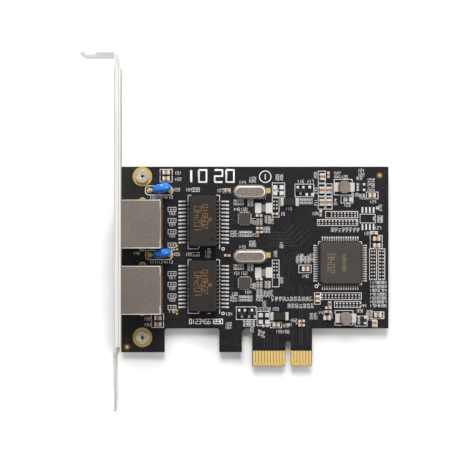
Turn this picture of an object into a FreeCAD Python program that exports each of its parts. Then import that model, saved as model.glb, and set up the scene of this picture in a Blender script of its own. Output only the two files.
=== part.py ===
import FreeCAD, Part
import math
import os
from FreeCAD import Vector

# A two-port gigabit network card for a one-lane expansion slot, in millimetres.
# The board lies flat with its component side up (+Z). The bracket is at -X and its tab at +Y.
# The origin is at the middle of the whole card's box, on the surface that it lies on.

# Bracket, one folded sheet
sheet = 0.86
bracket_width = 18.42
bracket_height = 120.02
tab_length = 11.43
bend_inside = 0.35
tab_notch_width = 4.42
tab_notch_from_end = 3.43
tab_notch_depth = 6.35
tab_corner = 1.5
flange_depth = 1.58
flange_top = 6.1           # from the top of the tab
flange_below_screw = 2.25  # from the lower screw
shoulder_below_flange = 1.7
shoulder_height = 2.0
tongue_width = 10.19
joggle = 0.6               # the tongue stands this far outwards
tip_length = 10.5
tip_width = 5.6
tip_set = 0.35             # the tongue bows in by this before its tip
ear_length = 12.0
ear_width = 7.2
ear_relief = 0.9
window_clearance = 0.25

# Board. Its parts are laid out for the layout's size, and get smaller with a smaller board
layout_length = 90.75
layout_height = 54.9
board_thick = 1.6
board_length = 90.75
board_height = 54.9
board_lift = 2.15          # solder side above the bracket's long edge
board_gap = 0.5            # to the bracket's inner face
board_drop = 37.8          # from the top of the tab
foot_width = 14.74         # the corner that carries the lower screw
foot_drop = 8.1
hook_left = 33.3
hook_width = 7.65
hook_drop = 8.05
recess_corner = 1.0

# Edge connector
key_from_panel = 57.15
key_width = 1.9
key_depth = 8.6
edge_left = 12.15          # from the key's middle
edge_right = 8.15
edge_drop = 12.9
contact_pitch = 1.0
contact_width = 0.7
contact_length = 3.9
contact_setback = 1.4
contact_first = 1.5        # from the key's middle
contacts_left = 11
contacts_right = 7
plating = 0.05
bevel_length = 1.3
bevel_depth = 0.45

# Screws
screw_from_board = 7.2
upper_screw_drop = 3.35
lower_screw_drop = 3.05    # below the board's lower edge, in the foot
screw_radius = 1.3
screw_hole_radius = 1.6
screw_thread_clearance = 0.05
screw_head_radius = 2.2
screw_head_height = 1.4
screw_recess_width = 0.62
screw_recess_length = 2.5
screw_recess_depth = 0.9
screw_tail = 0.5

# Network jacks
port_shares = (35.7, 75.59)    # how far down the board each jack's middle is, in percent
jack_width = 16.2
jack_height = 13.4
jack_length = 15.6
shield = 0.25
shield_front_frame = 1.0
shield_bend = 0.5
shield_flap_width = 10.8
shield_tab_from_front = 8.56
shield_tab_width = 1.5
shield_tab_hole = 0.9
spring_root = 1.7          # from the shield's front
spring_length = 4.2
spring_width = 2.6
spring_floor = 6.0
spring_slit = 0.3
housing_length = 11.9
plug_width = 11.9
plug_floor = 3.0
plug_roof = 9.9
plug_depth = 11.0
latch_width = 6.2
latch_floor = 1.5
latch_neck_width = 3.6
latch_neck_floor = 0.8
comb_width = 0.55
comb_roof = 11.8
comb_front = 2.2
jack_contact_pitch = 1.02
jack_contact = 0.35
spring_top = 11.0
spring_end_height = 7.7
spring_end_back = 8.2
tail_row_front = 12.5
tail_row_back = 14.75
tail_hole = 0.6
lamp_width = 2.3
lamp_height = 1.6
lamp_floor = 0.7
lamp_depth = 2.0
post_radius = 1.6
post_spread = 11.43
post_from_front = 5.4
pin_length = 1.1           # what stands out of the solder side
hole_clearance = 0.05

# Isolation transformers
transformer_rise = 0.78    # above the middle of its jack
transformer_offset = Vector(-0.2, 0.35, 0)    # of the body from the middle of its leads
transformer_length = 17.2
transformer_width = 9.2
transformer_height = 5.9
transformer_standoff = 0.15
transformer_draft = 0.2
transformer_leads = 12
transformer_pitch = 1.27
transformer_span = 15.4
transformer_foot = 1.3
transformer_lead = 0.4
transformer_lead_thick = 0.25
transformer_exit = 0.9

# Controller, a flat package with leads on four sides
controller_body = 14.0
controller_height = 2.4
controller_draft = 0.3
controller_corner = 0.45
controller_standoff = 0.2
controller_leads = 16
controller_pitch = 0.8
controller_span = 17.1
controller_foot = 0.9
controller_lead = 0.35
controller_lead_thick = 0.17
seat = 0.4                 # a bent lead starts this deep in its body and is trimmed to it

# Port chips, flat packages without leads
port_chip_size = 3.9
port_chip_height = 0.85
port_chip_draft = 0.03

# Crystals in metal cans
crystal_length = 11.3
crystal_width = 4.66
crystal_flange = 0.5
can_length = 10.3
can_width = 3.75
can_height = 3.4
can_round = 0.4
crystal_flats = 8          # on each half-round end
crystal_lead_spread = 4.88
crystal_lead_radius = 0.22

# Disc capacitors
disc_radius = 3.1
disc_thick = 2.5
disc_rim = 0.5
disc_slope = 0.75          # the rim slopes in by this towards the flat sides
disc_flats = 20
disc_shift = Vector(0.75, 0.5, 4.2)    # from the board, midway between the leads
disc_lean = 9.0
disc_turn = 11.0
disc_lead_pitch = 7.2
disc_lead_radius = 0.28
disc_lead_rise = 0.9

# Power inductors
choke_base = 4.4
choke_base_flat = 4.1
choke_flange = 0.6
choke_winding_radius = 2.05
choke_winding_height = 1.5
choke_top_radius = 2.15
choke_top_flat = 3.5
choke_plate_span = 7.1
choke_plate_reach = 1.75
choke_plate_width = 3.05
choke_plate_thick = 0.35

# Diodes
diode_length = 4.1
diode_width = 2.55
diode_height = 2.1
diode_span = 5.8
diode_plate_width = 2.4
diode_plate_thick = 0.3
diode_standoff = 0.1
diode_draft = 0.15

# Small transistors and regulators
transistor_length = 2.9
transistor_width = 1.4
transistor_height = 1.0
transistor_standoff = 0.08
transistor_draft = 0.08
transistor_span = 2.6
transistor_pitch = 0.95
transistor_exit = 0.5
transistor_lead = 0.42
transistor_lead_thick = 0.13
transistor_foot = 0.35

# Chip capacitors and resistors, length by width by height
large_chip = (2.0, 1.25, 0.95)
medium_chip = (1.6, 0.8, 0.8)
small_chip = (1.0, 0.5, 0.4)
chip_end = 0.25            # the metal end's share of a chip's length
small_pitch = 1.14
column_pitch = 1.18

# Where the frames of the pieces lie
total_length = tab_length + sheet + board_gap + board_length
panel_x = tab_length - total_length / 2
inner_x = panel_x + sheet
board_left = inner_x + board_gap
top_y = bracket_height / 2
board_top = top_y - board_drop
fit = min(board_length / layout_length, board_height / layout_height)
board_back = board_lift
board_face = board_lift + board_thick
key_x = inner_x + key_from_panel
screw_x = board_left + screw_from_board
screw_ys = (board_top - upper_screw_drop, board_top - board_height - lower_screw_drop)
port_ys = tuple(board_top - board_height * share / 100 for share in port_shares)
port_pitch = port_ys[0] - port_ys[1]
jack_back = panel_x + jack_length
pin_foot = board_back - pin_length


def flat(a, b):
    """A point drawn in the board's plane."""
    return Vector(a, b, 0)


def upright(a, b):
    """A point drawn in the plane across the bracket."""
    return Vector(a, 0, b)


def facing(a, b):
    """A point drawn in the bracket's plane."""
    return Vector(0, a, b)


def outline(corners, drawn):
    """A closed outline through corners (a, b) or (a, b, radius of the rounding)."""
    starts = []
    ends = []
    edges = []
    count = len(corners)
    for index, corner in enumerate(corners):
        here = drawn(corner[0], corner[1])
        radius = corner[2] if len(corner) > 2 else 0
        if radius <= 0:
            starts.append(here)
            ends.append(here)
            continue
        back = (drawn(*corners[index - 1][:2]) - here).normalize()
        ahead = (drawn(*corners[(index + 1) % count][:2]) - here).normalize()
        half = back.getAngle(ahead) / 2
        reach = radius / math.tan(half)
        middle = (back + ahead).normalize() * (radius / math.sin(half) - radius)
        starts.append(here + back * reach)
        ends.append(here + ahead * reach)
        edges.append(Part.Arc(starts[-1], here + middle, ends[-1]).toShape())
    for index in range(count):
        start = ends[index]
        end = starts[(index + 1) % count]
        if start.distanceToPoint(end) > 1e-6:
            edges.append(Part.LineSegment(start, end).toShape())
    return Part.Wire(Part.__sortEdges__(edges))


def prism(corners, drawn, start, push):
    """The outline, moved to start and pushed into a solid."""
    face = Part.Face(outline(corners, drawn))
    face.translate(start)
    return face.extrude(push)


def box_between(low_x, high_x, low_y, high_y, low_z, high_z):
    return Part.makeBox(high_x - low_x, high_y - low_y, high_z - low_z, Vector(low_x, low_y, low_z))


def block(centre, size_x, size_y, size_z):
    """A box that stands on a point, centred across it."""
    corner = centre - Vector(size_x / 2, size_y / 2, 0)
    return Part.makeBox(size_x, size_y, size_z, corner)


def rod(centre, radius, height):
    return Part.makeCylinder(radius, height, centre)


def round_corners(radius, sides):
    """The corners of a round outline with many flats, whose middles lie on the circle."""
    reach = radius / math.cos(math.pi / sides)
    turns = [(index + 0.5) * 2 * math.pi / sides for index in range(sides)]
    return [(reach * math.cos(turn), reach * math.sin(turn)) for turn in turns]


def pin(centre, radius, height):
    """A thin wire or post with eight flats, as the card has many of them."""
    return prism(round_corners(radius, 8), flat, centre, Vector(0, 0, height))


def stacked(centre, layers):
    """A solid with straight sides through outlines with as many corners, each at its own height."""
    rings = []
    for lift, corners in layers:
        ring = outline(corners, flat)
        ring.translate(centre + Vector(0, 0, lift))
        rings.append(ring)
    return Part.makeLoft(rings, True, True)


def tapered_block(centre, size_x, size_y, size_z, draft):
    """A moulded block whose sides lean in by the draft from its foot to its top."""
    layers = []
    for lift, inset in ((0, 0), (size_z, draft)):
        half_x = size_x / 2 - inset
        half_y = size_y / 2 - inset
        layers.append((lift, ((-half_x, -half_y), (half_x, -half_y), (half_x, half_y), (-half_x, half_y))))
    return stacked(centre, layers)


def spot(across, down):
    """A place on the component side, in percent of the board's length and height."""
    return Vector(board_left + board_length * across / 100, board_top - board_height * down / 100, board_face)


def port_front(port_y):
    """The point of a jack that stays put when it is fitted to a smaller board."""
    return Vector(panel_x, port_y, board_face)


def fitted(shapes, place):
    """The shapes, drawn at their full size, made as small about a place as the board asks."""
    resized = [shape.copy() for shape in shapes]
    for shape in resized:
        shape.scale(fit, place)
    return resized


def turned(shape, angle, place):
    """The shape turned about +Z and carried to a place."""
    copy = shape.copy()
    copy.rotate(Vector(0, 0, 0), Vector(0, 0, 1), angle)
    copy.translate(place)
    return copy


def gull_wing(root, tip, exit_height, foot, thick, width):
    """A bent lead along +X that leaves a body at its root and ends in a foot on the board."""
    heel = tip - foot
    corners = (
        (root, exit_height),
        (heel, 0),
        (tip, 0),
        (tip, thick),
        (heel + thick / 2, thick),
        (root, exit_height + thick),
    )
    return prism(corners, upright, Vector(0, -width / 2, 0), Vector(0, width, 0))


def stadium_corners(length, width):
    """The corners of a bar with half-round ends, each end drawn with flats."""
    radius = width / 2
    corners = []
    for side, start in ((1, -90), (-1, 90)):
        for step in range(crystal_flats + 1):
            turn = math.radians(start + 180 * step / crystal_flats)
            end = side * (length / 2 - radius)
            corners.append((end + radius * math.cos(turn), radius * math.sin(turn)))
    return corners


def save(name, shape):
    solids = shape if isinstance(shape, list) else [shape]
    Part.makeCompound(solids).exportStep(f"parts/{name}.step")
    print(name, len(solids), "valid" if all(solid.isValid() for solid in solids) else "NOT VALID")


def bracket():
    """One sheet: tab, neck, panel with two shallow flanges and two ears, joggled tongue."""
    bend_outside = bend_inside + sheet
    tab_end = panel_x - tab_length
    flange_top_y = top_y - flange_top
    flange_bottom_y = screw_ys[1] - flange_below_screw
    neck = prism(
        (
            (tab_end, top_y),
            (inner_x, top_y, bend_outside),
            (inner_x, flange_top_y),
            (panel_x, flange_top_y),
            (panel_x, top_y - sheet, bend_inside),
            (tab_end, top_y - sheet),
        ),
        flat,
        Vector(0, 0, 0),
        Vector(0, 0, bracket_width),
    )
    for side in (0, bracket_width):
        inwards = 1 if side == 0 else -1
        corner = prism(
            (
                (tab_end, side),
                (tab_end + tab_corner, side),
                (tab_end, side + inwards * tab_corner),
            ),
            upright,
            Vector(0, top_y - 2 * sheet, 0),
            Vector(0, 3 * sheet, 0),
        )
        neck = neck.cut(corner)
    notch_x = tab_end + tab_notch_from_end
    notch_end = bracket_width - tab_notch_depth
    half_notch = tab_notch_width / 2
    notch = prism(
        (
            (notch_x - half_notch, bracket_width + 1),
            (notch_x - half_notch, notch_end, half_notch * 0.999),
            (notch_x + half_notch, notch_end, half_notch * 0.999),
            (notch_x + half_notch, bracket_width + 1),
        ),
        upright,
        Vector(0, top_y - 2 * sheet, 0),
        Vector(0, 3 * sheet, 0),
    )
    neck = neck.cut(notch)

    flange_x = panel_x + flange_depth
    channel = prism(
        (
            (panel_x, 0, sheet),
            (flange_x, 0),
            (flange_x, sheet),
            (inner_x, sheet),
            (inner_x, bracket_width - sheet),
            (flange_x, bracket_width - sheet),
            (flange_x, bracket_width),
            (panel_x, bracket_width, sheet),
        ),
        upright,
        Vector(0, flange_bottom_y, 0),
        Vector(0, flange_top_y - flange_bottom_y, 0),
    )

    tongue_x = panel_x - joggle
    bow_x = tongue_x + tip_set
    shoulder_y = flange_bottom_y - shoulder_below_flange
    neck_y = shoulder_y - shoulder_height
    tip_y = -top_y
    bow_y = tip_y + tip_length / 2
    side_profile = prism(
        (
            (panel_x, flange_bottom_y),
            (panel_x, shoulder_y, sheet),
            (tongue_x, neck_y, sheet),
            (tongue_x, tip_y + tip_length, 4 * sheet),
            (bow_x, bow_y, 4 * sheet),
            (tongue_x, tip_y),
            (tongue_x + sheet, tip_y),
            (bow_x + sheet, bow_y, 4 * sheet),
            (tongue_x + sheet, tip_y + tip_length, 4 * sheet),
            (tongue_x + sheet, neck_y, sheet),
            (inner_x, shoulder_y, sheet),
            (inner_x, flange_bottom_y),
        ),
        flat,
        Vector(0, 0, 0),
        Vector(0, 0, bracket_width),
    )
    middle_z = bracket_width / 2
    half_tongue = tongue_width / 2
    half_tip = tip_width / 2
    front_outline = prism(
        (
            (flange_bottom_y, 0),
            (shoulder_y, 0, 1),
            (neck_y, middle_z - half_tongue, 1),
            (tip_y + tip_length, middle_z - half_tongue, 2),
            (tip_y, middle_z - half_tip, 1),
            (tip_y, middle_z + half_tip, 1),
            (tip_y + tip_length, middle_z + half_tongue, 2),
            (neck_y, middle_z + half_tongue, 1),
            (shoulder_y, bracket_width, 1),
            (flange_bottom_y, bracket_width),
        ),
        facing,
        Vector(panel_x - 5 * sheet, 0, 0),
        Vector(10 * sheet, 0, 0),
    )
    tongue = side_profile.common(front_outline)
    folded = neck.fuse([channel, tongue])

    ear_bottom = board_back - sheet
    relief_z = board_back + sheet / 2
    for screw_y in screw_ys:
        half_ear = ear_width / 2
        cleared = box_between(
            panel_x - 1,
            flange_x + 1,
            screw_y - half_ear - ear_relief,
            screw_y + half_ear + ear_relief,
            -1,
            ear_bottom,
        )
        folded = folded.cut(cleared)
        for side in (-1, 1):
            relief_y = screw_y + side * (half_ear + ear_relief / 2)
            slot = box_between(
                panel_x - 1,
                flange_x + 1,
                relief_y - ear_relief / 2,
                relief_y + ear_relief / 2,
                -1,
                relief_z,
            )
            folded = folded.cut(slot)
        ear = prism(
            (
                (panel_x, screw_y - half_ear),
                (panel_x + ear_length, screw_y - half_ear, 2),
                (panel_x + ear_length, screw_y + half_ear, 2),
                (panel_x, screw_y + half_ear),
            ),
            flat,
            Vector(0, 0, ear_bottom),
            Vector(0, 0, sheet),
        )
        tapped = pin(Vector(screw_x, screw_y, 0), screw_radius + screw_thread_clearance, bracket_width)
        tapped = tapped.common(ear.copy())
        folded = folded.fuse(ear.cut(tapped))
        bend_corner = box_between(
            panel_x, panel_x + sheet, screw_y - half_ear, screw_y + half_ear, ear_bottom, board_back
        ).cut(
            Part.makeCylinder(
                sheet, ear_width, Vector(panel_x + sheet, screw_y - half_ear, board_back), Vector(0, 1, 0)
            )
        )
        folded = folded.cut(bend_corner)

    for port_y in port_ys:
        reach = jack_width / 2 + window_clearance
        window = box_between(
            panel_x - 2,
            flange_x + 2,
            port_y - reach,
            port_y + reach,
            board_face - window_clearance,
            board_face + jack_height + window_clearance / 2,
        )
        folded = folded.cut(fitted([window], port_front(port_y)))
    return folded.removeSplitter()


def board_outline():
    """The card's outline, from the upper left corner round to the foot."""
    right = board_left + board_length
    base = board_top - board_height
    foot_right = board_left + foot_width
    hook_x = board_left + hook_left
    hook_right = hook_x + hook_width
    edge_x = key_x - edge_left
    edge_end = key_x + edge_right
    slot_round = (edge_x - hook_right) / 2 * 0.999
    return (
        (board_left, board_top),
        (board_left, base - foot_drop),
        (foot_right, base - foot_drop),
        (foot_right, base, recess_corner),
        (hook_x, base, recess_corner),
        (hook_x, base - hook_drop),
        (hook_right, base - hook_drop),
        (hook_right, base, slot_round),
        (edge_x, base, slot_round),
        (edge_x, base - edge_drop),
        (edge_end, base - edge_drop),
        (edge_end, base),
        (right, base),
        (right, board_top),
    )


def through_holes():
    """Every hole through the board: round for the screws, flat-sided for the many thin pins."""
    start = Vector(0, 0, board_back - 1)
    height = board_thick + 2
    holes = [rod(start + Vector(screw_x, screw_y, 0), screw_hole_radius, height) for screw_y in screw_ys]
    for port_y in port_ys:
        jack_holes = []
        for place in jack_tails(port_y):
            jack_holes.append(block(start + flat(place.x, place.y), tail_hole, tail_hole, height))
        for side in (-1, 1):
            tab_y = port_y + side * (jack_width - shield) / 2
            tab_place = start + Vector(panel_x + shield_tab_from_front, tab_y, 0)
            jack_holes.append(pin(tab_place, shield_tab_hole, height))
            post_y = port_y + side * post_spread / 2
            post_hole = post_radius + hole_clearance
            jack_holes.append(pin(start + Vector(panel_x + post_from_front, post_y, 0), post_hole, height))
        holes += fitted(jack_holes, port_front(port_y))
    wired = [(place, disc_lead_pitch, disc_lead_radius) for place in disc_spots()]
    wired += [(place, crystal_lead_spread, crystal_lead_radius) for place in crystal_spots()]
    for place, spread, radius in wired:
        lead_holes = []
        for side in (-1, 1):
            lead = start + Vector(place.x + side * spread / 2, place.y, 0)
            lead_holes.append(pin(lead, radius + hole_clearance, height))
        holes += fitted(lead_holes, place)
    return holes


def circuit_board():
    """The laminate with its slots, key, bevelled contact edge and holes."""
    board = prism(board_outline(), flat, Vector(0, 0, board_back), Vector(0, 0, board_thick))
    edge_y = board_top - board_height - edge_drop
    key_side = key_width / 2
    key = prism(
        (
            (key_x - key_side, edge_y - 1),
            (key_x - key_side, edge_y + key_depth, key_side * 0.999),
            (key_x + key_side, edge_y + key_depth, key_side * 0.999),
            (key_x + key_side, edge_y - 1),
        ),
        flat,
        Vector(0, 0, board_back - 1),
        Vector(0, 0, board_thick + 2),
    )
    board = board.cut(key)
    edge_start = Vector(key_x - edge_left - 1, 0, 0)
    edge_push = Vector(edge_left + edge_right + 2, 0, 0)
    for face_z, outwards in ((board_face, 1), (board_back, -1)):
        wedge = prism(
            (
                (edge_y + bevel_length, face_z),
                (edge_y - 1, face_z),
                (edge_y - 1, face_z - outwards * bevel_depth * 1.2),
                (edge_y, face_z - outwards * bevel_depth),
            ),
            facing,
            edge_start,
            edge_push,
        )
        board = board.cut(wedge)
    return board.cut(through_holes())


def contact_places():
    """The middle of each edge contact, left group then right group."""
    places = [key_x - contact_first - index * contact_pitch for index in range(contacts_left)]
    places += [key_x + contact_first + index * contact_pitch for index in range(contacts_right)]
    return places


def edge_contacts():
    """Gold contacts on both faces of the slot edge."""
    contacts = []
    low_y = board_top - board_height - edge_drop + contact_setback
    for x in contact_places():
        middle = Vector(x, low_y + contact_length / 2, board_face)
        contacts.append(block(middle, contact_width, contact_length, plating))
        middle.z = board_back - plating
        contacts.append(block(middle, contact_width, contact_length, plating))
    return contacts


def bracket_screws():
    """Pan head screws with a crossed recess, through the board into the bracket's ears."""
    half_profile = (
        (0, board_back - sheet - screw_tail),
        (screw_radius, board_back - sheet - screw_tail),
        (screw_radius, board_face),
        (screw_head_radius, board_face),
        (screw_head_radius, board_face + screw_head_height),
        (0, board_face + screw_head_height),
    )
    turned_solid = Part.Face(outline(half_profile, upright)).revolve(Vector(0, 0, 0), Vector(0, 0, 1), 360)
    recess_floor = board_face + screw_head_height - screw_recess_depth
    recess_mouth = board_face + screw_head_height + 1
    recess = prism(
        (
            (-screw_recess_length / 2, recess_mouth),
            (-screw_recess_width / 2, recess_floor),
            (screw_recess_width / 2, recess_floor),
            (screw_recess_length / 2, recess_mouth),
        ),
        upright,
        Vector(0, -screw_recess_width / 2, 0),
        Vector(0, screw_recess_width, 0),
    )
    screw = turned_solid.cut([recess, turned(recess, 90, Vector(0, 0, 0))])
    return [turned(screw, 0, Vector(screw_x, screw_y, 0)) for screw_y in screw_ys]


def jack_shield(port_y):
    """A folded tinned shield: roof, sides, framed front and a rear flap between two corner strips."""
    half = jack_width / 2
    roof = board_face + jack_height
    outer = box_between(panel_x, jack_back, port_y - half, port_y + half, board_face, roof)
    hollow = box_between(
        panel_x + shield, jack_back - shield, port_y - half + shield, port_y + half - shield,
        board_face - 1, roof - shield,
    )
    front = box_between(
        panel_x - 1, panel_x + shield + 1, port_y - half + shield_front_frame,
        port_y + half - shield_front_frame, board_face - 1, roof - shield_front_frame,
    )
    skin = outer.cut([hollow, front])
    flap = shield_flap_width / 2
    seams = []
    for side in (-1, 1):
        seam_y = port_y + side * flap
        seams.append(
            box_between(
                jack_back - 2 * shield, jack_back + 1, seam_y - shield / 2, seam_y + shield / 2,
                board_face - 1, roof + 1,
            )
        )
    bend = box_between(
        jack_back - shield_bend, jack_back + 1, port_y - flap, port_y + flap, roof - shield_bend, roof + 1
    ).cut(
        Part.makeCylinder(
            shield_bend, 2 * flap, Vector(jack_back - shield_bend, port_y - flap, roof - shield_bend),
            Vector(0, 1, 0),
        )
    )
    skin = skin.cut(seams + [bend, spring_slits(port_y)])
    tabs = []
    for side in (-1, 1):
        wall = port_y + side * (half - shield / 2)
        tabs.append(
            block(
                Vector(panel_x + shield_tab_from_front, wall, pin_foot),
                shield_tab_width, shield, board_face - pin_foot,
            )
        )
    return fitted([skin.fuse(tabs).removeSplitter()], port_front(port_y))


def spring_slits(port_y):
    """A U-shaped slit through both side walls, which frees a contact spring in each."""
    root = panel_x + spring_root
    tip = root + spring_length
    floor = board_face + spring_floor
    roof = floor + spring_width
    corners = (
        (root, floor),
        (tip, floor),
        (tip, roof),
        (root, roof),
        (root, roof - spring_slit),
        (tip - spring_slit, roof - spring_slit),
        (tip - spring_slit, floor + spring_slit),
        (root, floor + spring_slit),
    )
    reach = jack_width / 2 + 1
    return prism(corners, upright, Vector(0, port_y - reach, 0), Vector(0, 2 * reach, 0))


def jack_housing(port_y):
    """The moulded insulator: plug space, latch steps, contact comb, lamp seats and two posts."""
    half = jack_width / 2 - shield
    front = panel_x + shield
    inner = box_between(
        front, panel_x + housing_length, port_y - half, port_y + half, board_face,
        board_face + jack_height - shield,
    )
    face = half - (shield_front_frame - shield)
    nose = box_between(
        panel_x, front, port_y - face, port_y + face, board_face,
        board_face + jack_height - shield_front_frame,
    )
    body = inner.fuse(nose)
    cuts = []
    depth = panel_x + plug_depth
    steps = (
        (plug_width, plug_floor, plug_roof),
        (latch_width, latch_floor, plug_floor + 1),
        (latch_neck_width, latch_neck_floor, latch_floor + 1),
    )
    for width, floor, roof in steps:
        cuts.append(
            box_between(
                panel_x - 1, depth, port_y - width / 2, port_y + width / 2,
                board_face + floor, board_face + roof,
            )
        )
    for contact_y in jack_contact_ys(port_y):
        cuts.append(
            box_between(
                panel_x + comb_front, jack_back, contact_y - comb_width / 2, contact_y + comb_width / 2,
                board_face + plug_roof - 0.5, board_face + comb_roof,
            )
        )
    for side in (-1, 1):
        lamp_y = port_y + side * lamp_offset()
        cuts.append(
            box_between(
                panel_x - 1, panel_x + lamp_depth, lamp_y - lamp_width / 2, lamp_y + lamp_width / 2,
                board_face + lamp_floor, board_face + lamp_floor + lamp_height,
            )
        )
    body = body.cut(cuts)
    post_foot = Vector(panel_x + post_from_front, port_y, pin_foot)
    posts = [
        pin(post_foot + Vector(0, side * post_spread / 2, 0), post_radius, board_thick + pin_length)
        for side in (-1, 1)
    ]
    return fitted([body.fuse(posts).removeSplitter()], port_front(port_y))


def lamp_offset():
    """From a port's middle to the middle of a lamp window."""
    return jack_width / 2 - shield_front_frame - lamp_width / 2 - shield


def jack_contact_ys(port_y):
    return [port_y + (index - 3.5) * jack_contact_pitch for index in range(8)]


def jack_tails(port_y):
    """Where the tail of each contact enters the board, in two staggered rows."""
    rows = (tail_row_back, tail_row_front)
    return [
        Vector(panel_x + rows[index % 2], contact_y, board_face)
        for index, contact_y in enumerate(jack_contact_ys(port_y))
    ]


def jack_contacts(port_y):
    """Eight bent spring contacts, each with its tail through the board."""
    contacts = []
    thick = jack_contact
    bend_x = panel_x + comb_front + 0.4
    end_x = panel_x + spring_end_back
    top = board_face + spring_top
    end_z = board_face + spring_end_height
    for place in jack_tails(port_y):
        corners = (
            (place.x - thick / 2, pin_foot),
            (place.x - thick / 2, top),
            (bend_x + 3 * thick, top),
            (end_x + thick, end_z),
            (end_x, end_z),
            (bend_x, top + thick),
            (place.x + thick / 2, top + thick),
            (place.x + thick / 2, pin_foot),
        )
        contacts.append(prism(corners, upright, Vector(0, place.y - thick / 2, 0), Vector(0, thick, 0)))
    return fitted(contacts, port_front(port_y))


def lamp_windows(side):
    """The clear windows of one colour, one in each jack."""
    windows = []
    for port_y in port_ys:
        lamp_y = port_y + side * lamp_offset()
        window = box_between(
            panel_x, panel_x + lamp_depth, lamp_y - lamp_width / 2, lamp_y + lamp_width / 2,
            board_face + lamp_floor, board_face + lamp_floor + lamp_height,
        )
        windows += fitted([window], port_front(port_y))
    return windows


def transformer_place(port_y):
    """The middle of a transformer's leads, in line with its jack."""
    place = spot(30.85, 0)
    place.y = port_y + transformer_rise * fit
    return place


def transformer_body(place):
    foot = place + transformer_offset + Vector(0, 0, transformer_standoff)
    return tapered_block(
        foot, transformer_width, transformer_length, transformer_height, transformer_draft
    )


def transformer_lead_row(place):
    """Two rows of leads that step down from the body's long sides."""
    leads = []
    lead = gull_wing(
        transformer_width / 2 - seat, transformer_span / 2, transformer_exit, transformer_foot,
        transformer_lead_thick, transformer_lead,
    )
    body = transformer_body(place)
    for angle in (0, 180):
        for index in range(transformer_leads):
            along = (index - (transformer_leads - 1) / 2) * transformer_pitch
            copy = turned(lead, angle, place + Vector(0, along, 0))
            leads.append(copy.cut(body))
    return leads


def controller_place():
    return spot(81.9, 59.7)


def controller_package():
    """A moulded body, widest at its lead plane, with one cut corner."""
    place = controller_place()
    half = controller_body / 2
    cut = controller_corner
    foot = place + Vector(0, 0, controller_standoff)
    layers = []
    for share, inset in ((0, controller_draft), (0.5, 0), (1, controller_draft)):
        side = half - inset
        corners = (
            (-side + cut * 2, -side), (side - cut, -side), (side, -side + cut), (side, side - cut),
            (side - cut, side), (-side + cut, side), (-side, side - cut), (-side, -side + cut * 2),
        )
        layers.append((share * controller_height, corners))
    lower = stacked(foot, layers[:2])
    upper = stacked(foot, layers[1:])
    return lower.fuse(upper).removeSplitter()


def controller_lead_frame():
    """Leads on all four sides, stepping down from the parting plane."""
    place = controller_place()
    exit_height = controller_standoff + controller_height / 2 - controller_lead_thick / 2
    lead = gull_wing(
        controller_body / 2, controller_span / 2, exit_height, controller_foot, controller_lead_thick,
        controller_lead,
    )
    leads = []
    for angle in (0, 90, 180, 270):
        for index in range(controller_leads):
            along = (index - (controller_leads - 1) / 2) * controller_pitch
            offset = FreeCAD.Rotation(Vector(0, 0, 1), angle).multVec(Vector(0, along, 0))
            leads.append(turned(lead, angle, place + offset))
    return leads


def for_each_port(upper):
    """A place beside the upper jack and the same place beside the lower one."""
    return [upper, upper - Vector(0, port_pitch, 0)]


def port_chip_spots():
    return for_each_port(spot(46.2, 32.1))


def port_chip(index):
    place = port_chip_spots()[index]
    return tapered_block(place, port_chip_size, port_chip_size, port_chip_height, port_chip_draft)


def crystal_spots():
    return for_each_port(spot(48.2, 15.6))


def crystal(index):
    """A drawn can on its wider base, with two leads through the board."""
    place = crystal_spots()[index]
    base_corners = stadium_corners(crystal_length, crystal_width)
    can_corners = stadium_corners(can_length, can_width)
    top_corners = stadium_corners(can_length - 2 * can_round, can_width - 2 * can_round)
    base = stacked(place, ((0, base_corners), (crystal_flange, base_corners)))
    shoulder = can_height - can_round
    can = stacked(place, ((crystal_flange, can_corners), (shoulder, can_corners)))
    cap = stacked(place, ((shoulder, can_corners), (can_height, top_corners)))
    leads = []
    for side in (-1, 1):
        foot = Vector(place.x + side * crystal_lead_spread / 2, place.y, pin_foot)
        leads.append(pin(foot, crystal_lead_radius, board_thick + pin_length))
    return base.fuse([can, cap] + leads).removeSplitter()


def disc_spots():
    """Midway between the two leads of each disc capacitor."""
    return for_each_port(spot(14.55, 14.6))


def disc_leads(index):
    """Two wires that rise from the board and bend in to the disc's rim."""
    place = disc_spots()[index]
    leads = []
    for side in (-1, 1):
        foot = Vector(place.x + side * disc_lead_pitch / 2, place.y, pin_foot)
        knee = Vector(foot.x, foot.y, board_face + disc_lead_rise)
        end = place + disc_shift + Vector(side * disc_radius * 0.4, 0, -disc_radius * 0.6)
        arm = pin(Vector(0, 0, 0), disc_lead_radius, knee.distanceToPoint(end))
        arm.Placement = FreeCAD.Placement(knee, FreeCAD.Rotation(Vector(0, 0, 1), end - knee))
        post = pin(foot, disc_lead_radius, knee.z - foot.z + disc_lead_radius / 2)
        leads.append(post.fuse(arm).removeSplitter().cut(disc_body(index)))
    return leads


def disc_body(index):
    """A round ceramic dipped in lacquer: a thick disc with sloping rims that leans back a little."""
    corners = round_corners(disc_radius, disc_flats)
    disc = prism(corners, flat, Vector(0, 0, -disc_thick / 2), Vector(0, 0, disc_thick))
    rims = [edge for edge in disc.Edges if edge.BoundBox.ZLength < disc_rim]
    disc = disc.makeChamfer(disc_rim, disc_slope, rims)
    disc.rotate(Vector(0, 0, 0), Vector(1, 0, 0), 90 - disc_lean)
    disc.rotate(Vector(0, 0, 0), Vector(0, 0, 1), disc_turn)
    disc.translate(disc_spots()[index] + disc_shift)
    return disc


choke_spots = ((83.4, 12.7), (84.0, 93.6))


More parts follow.
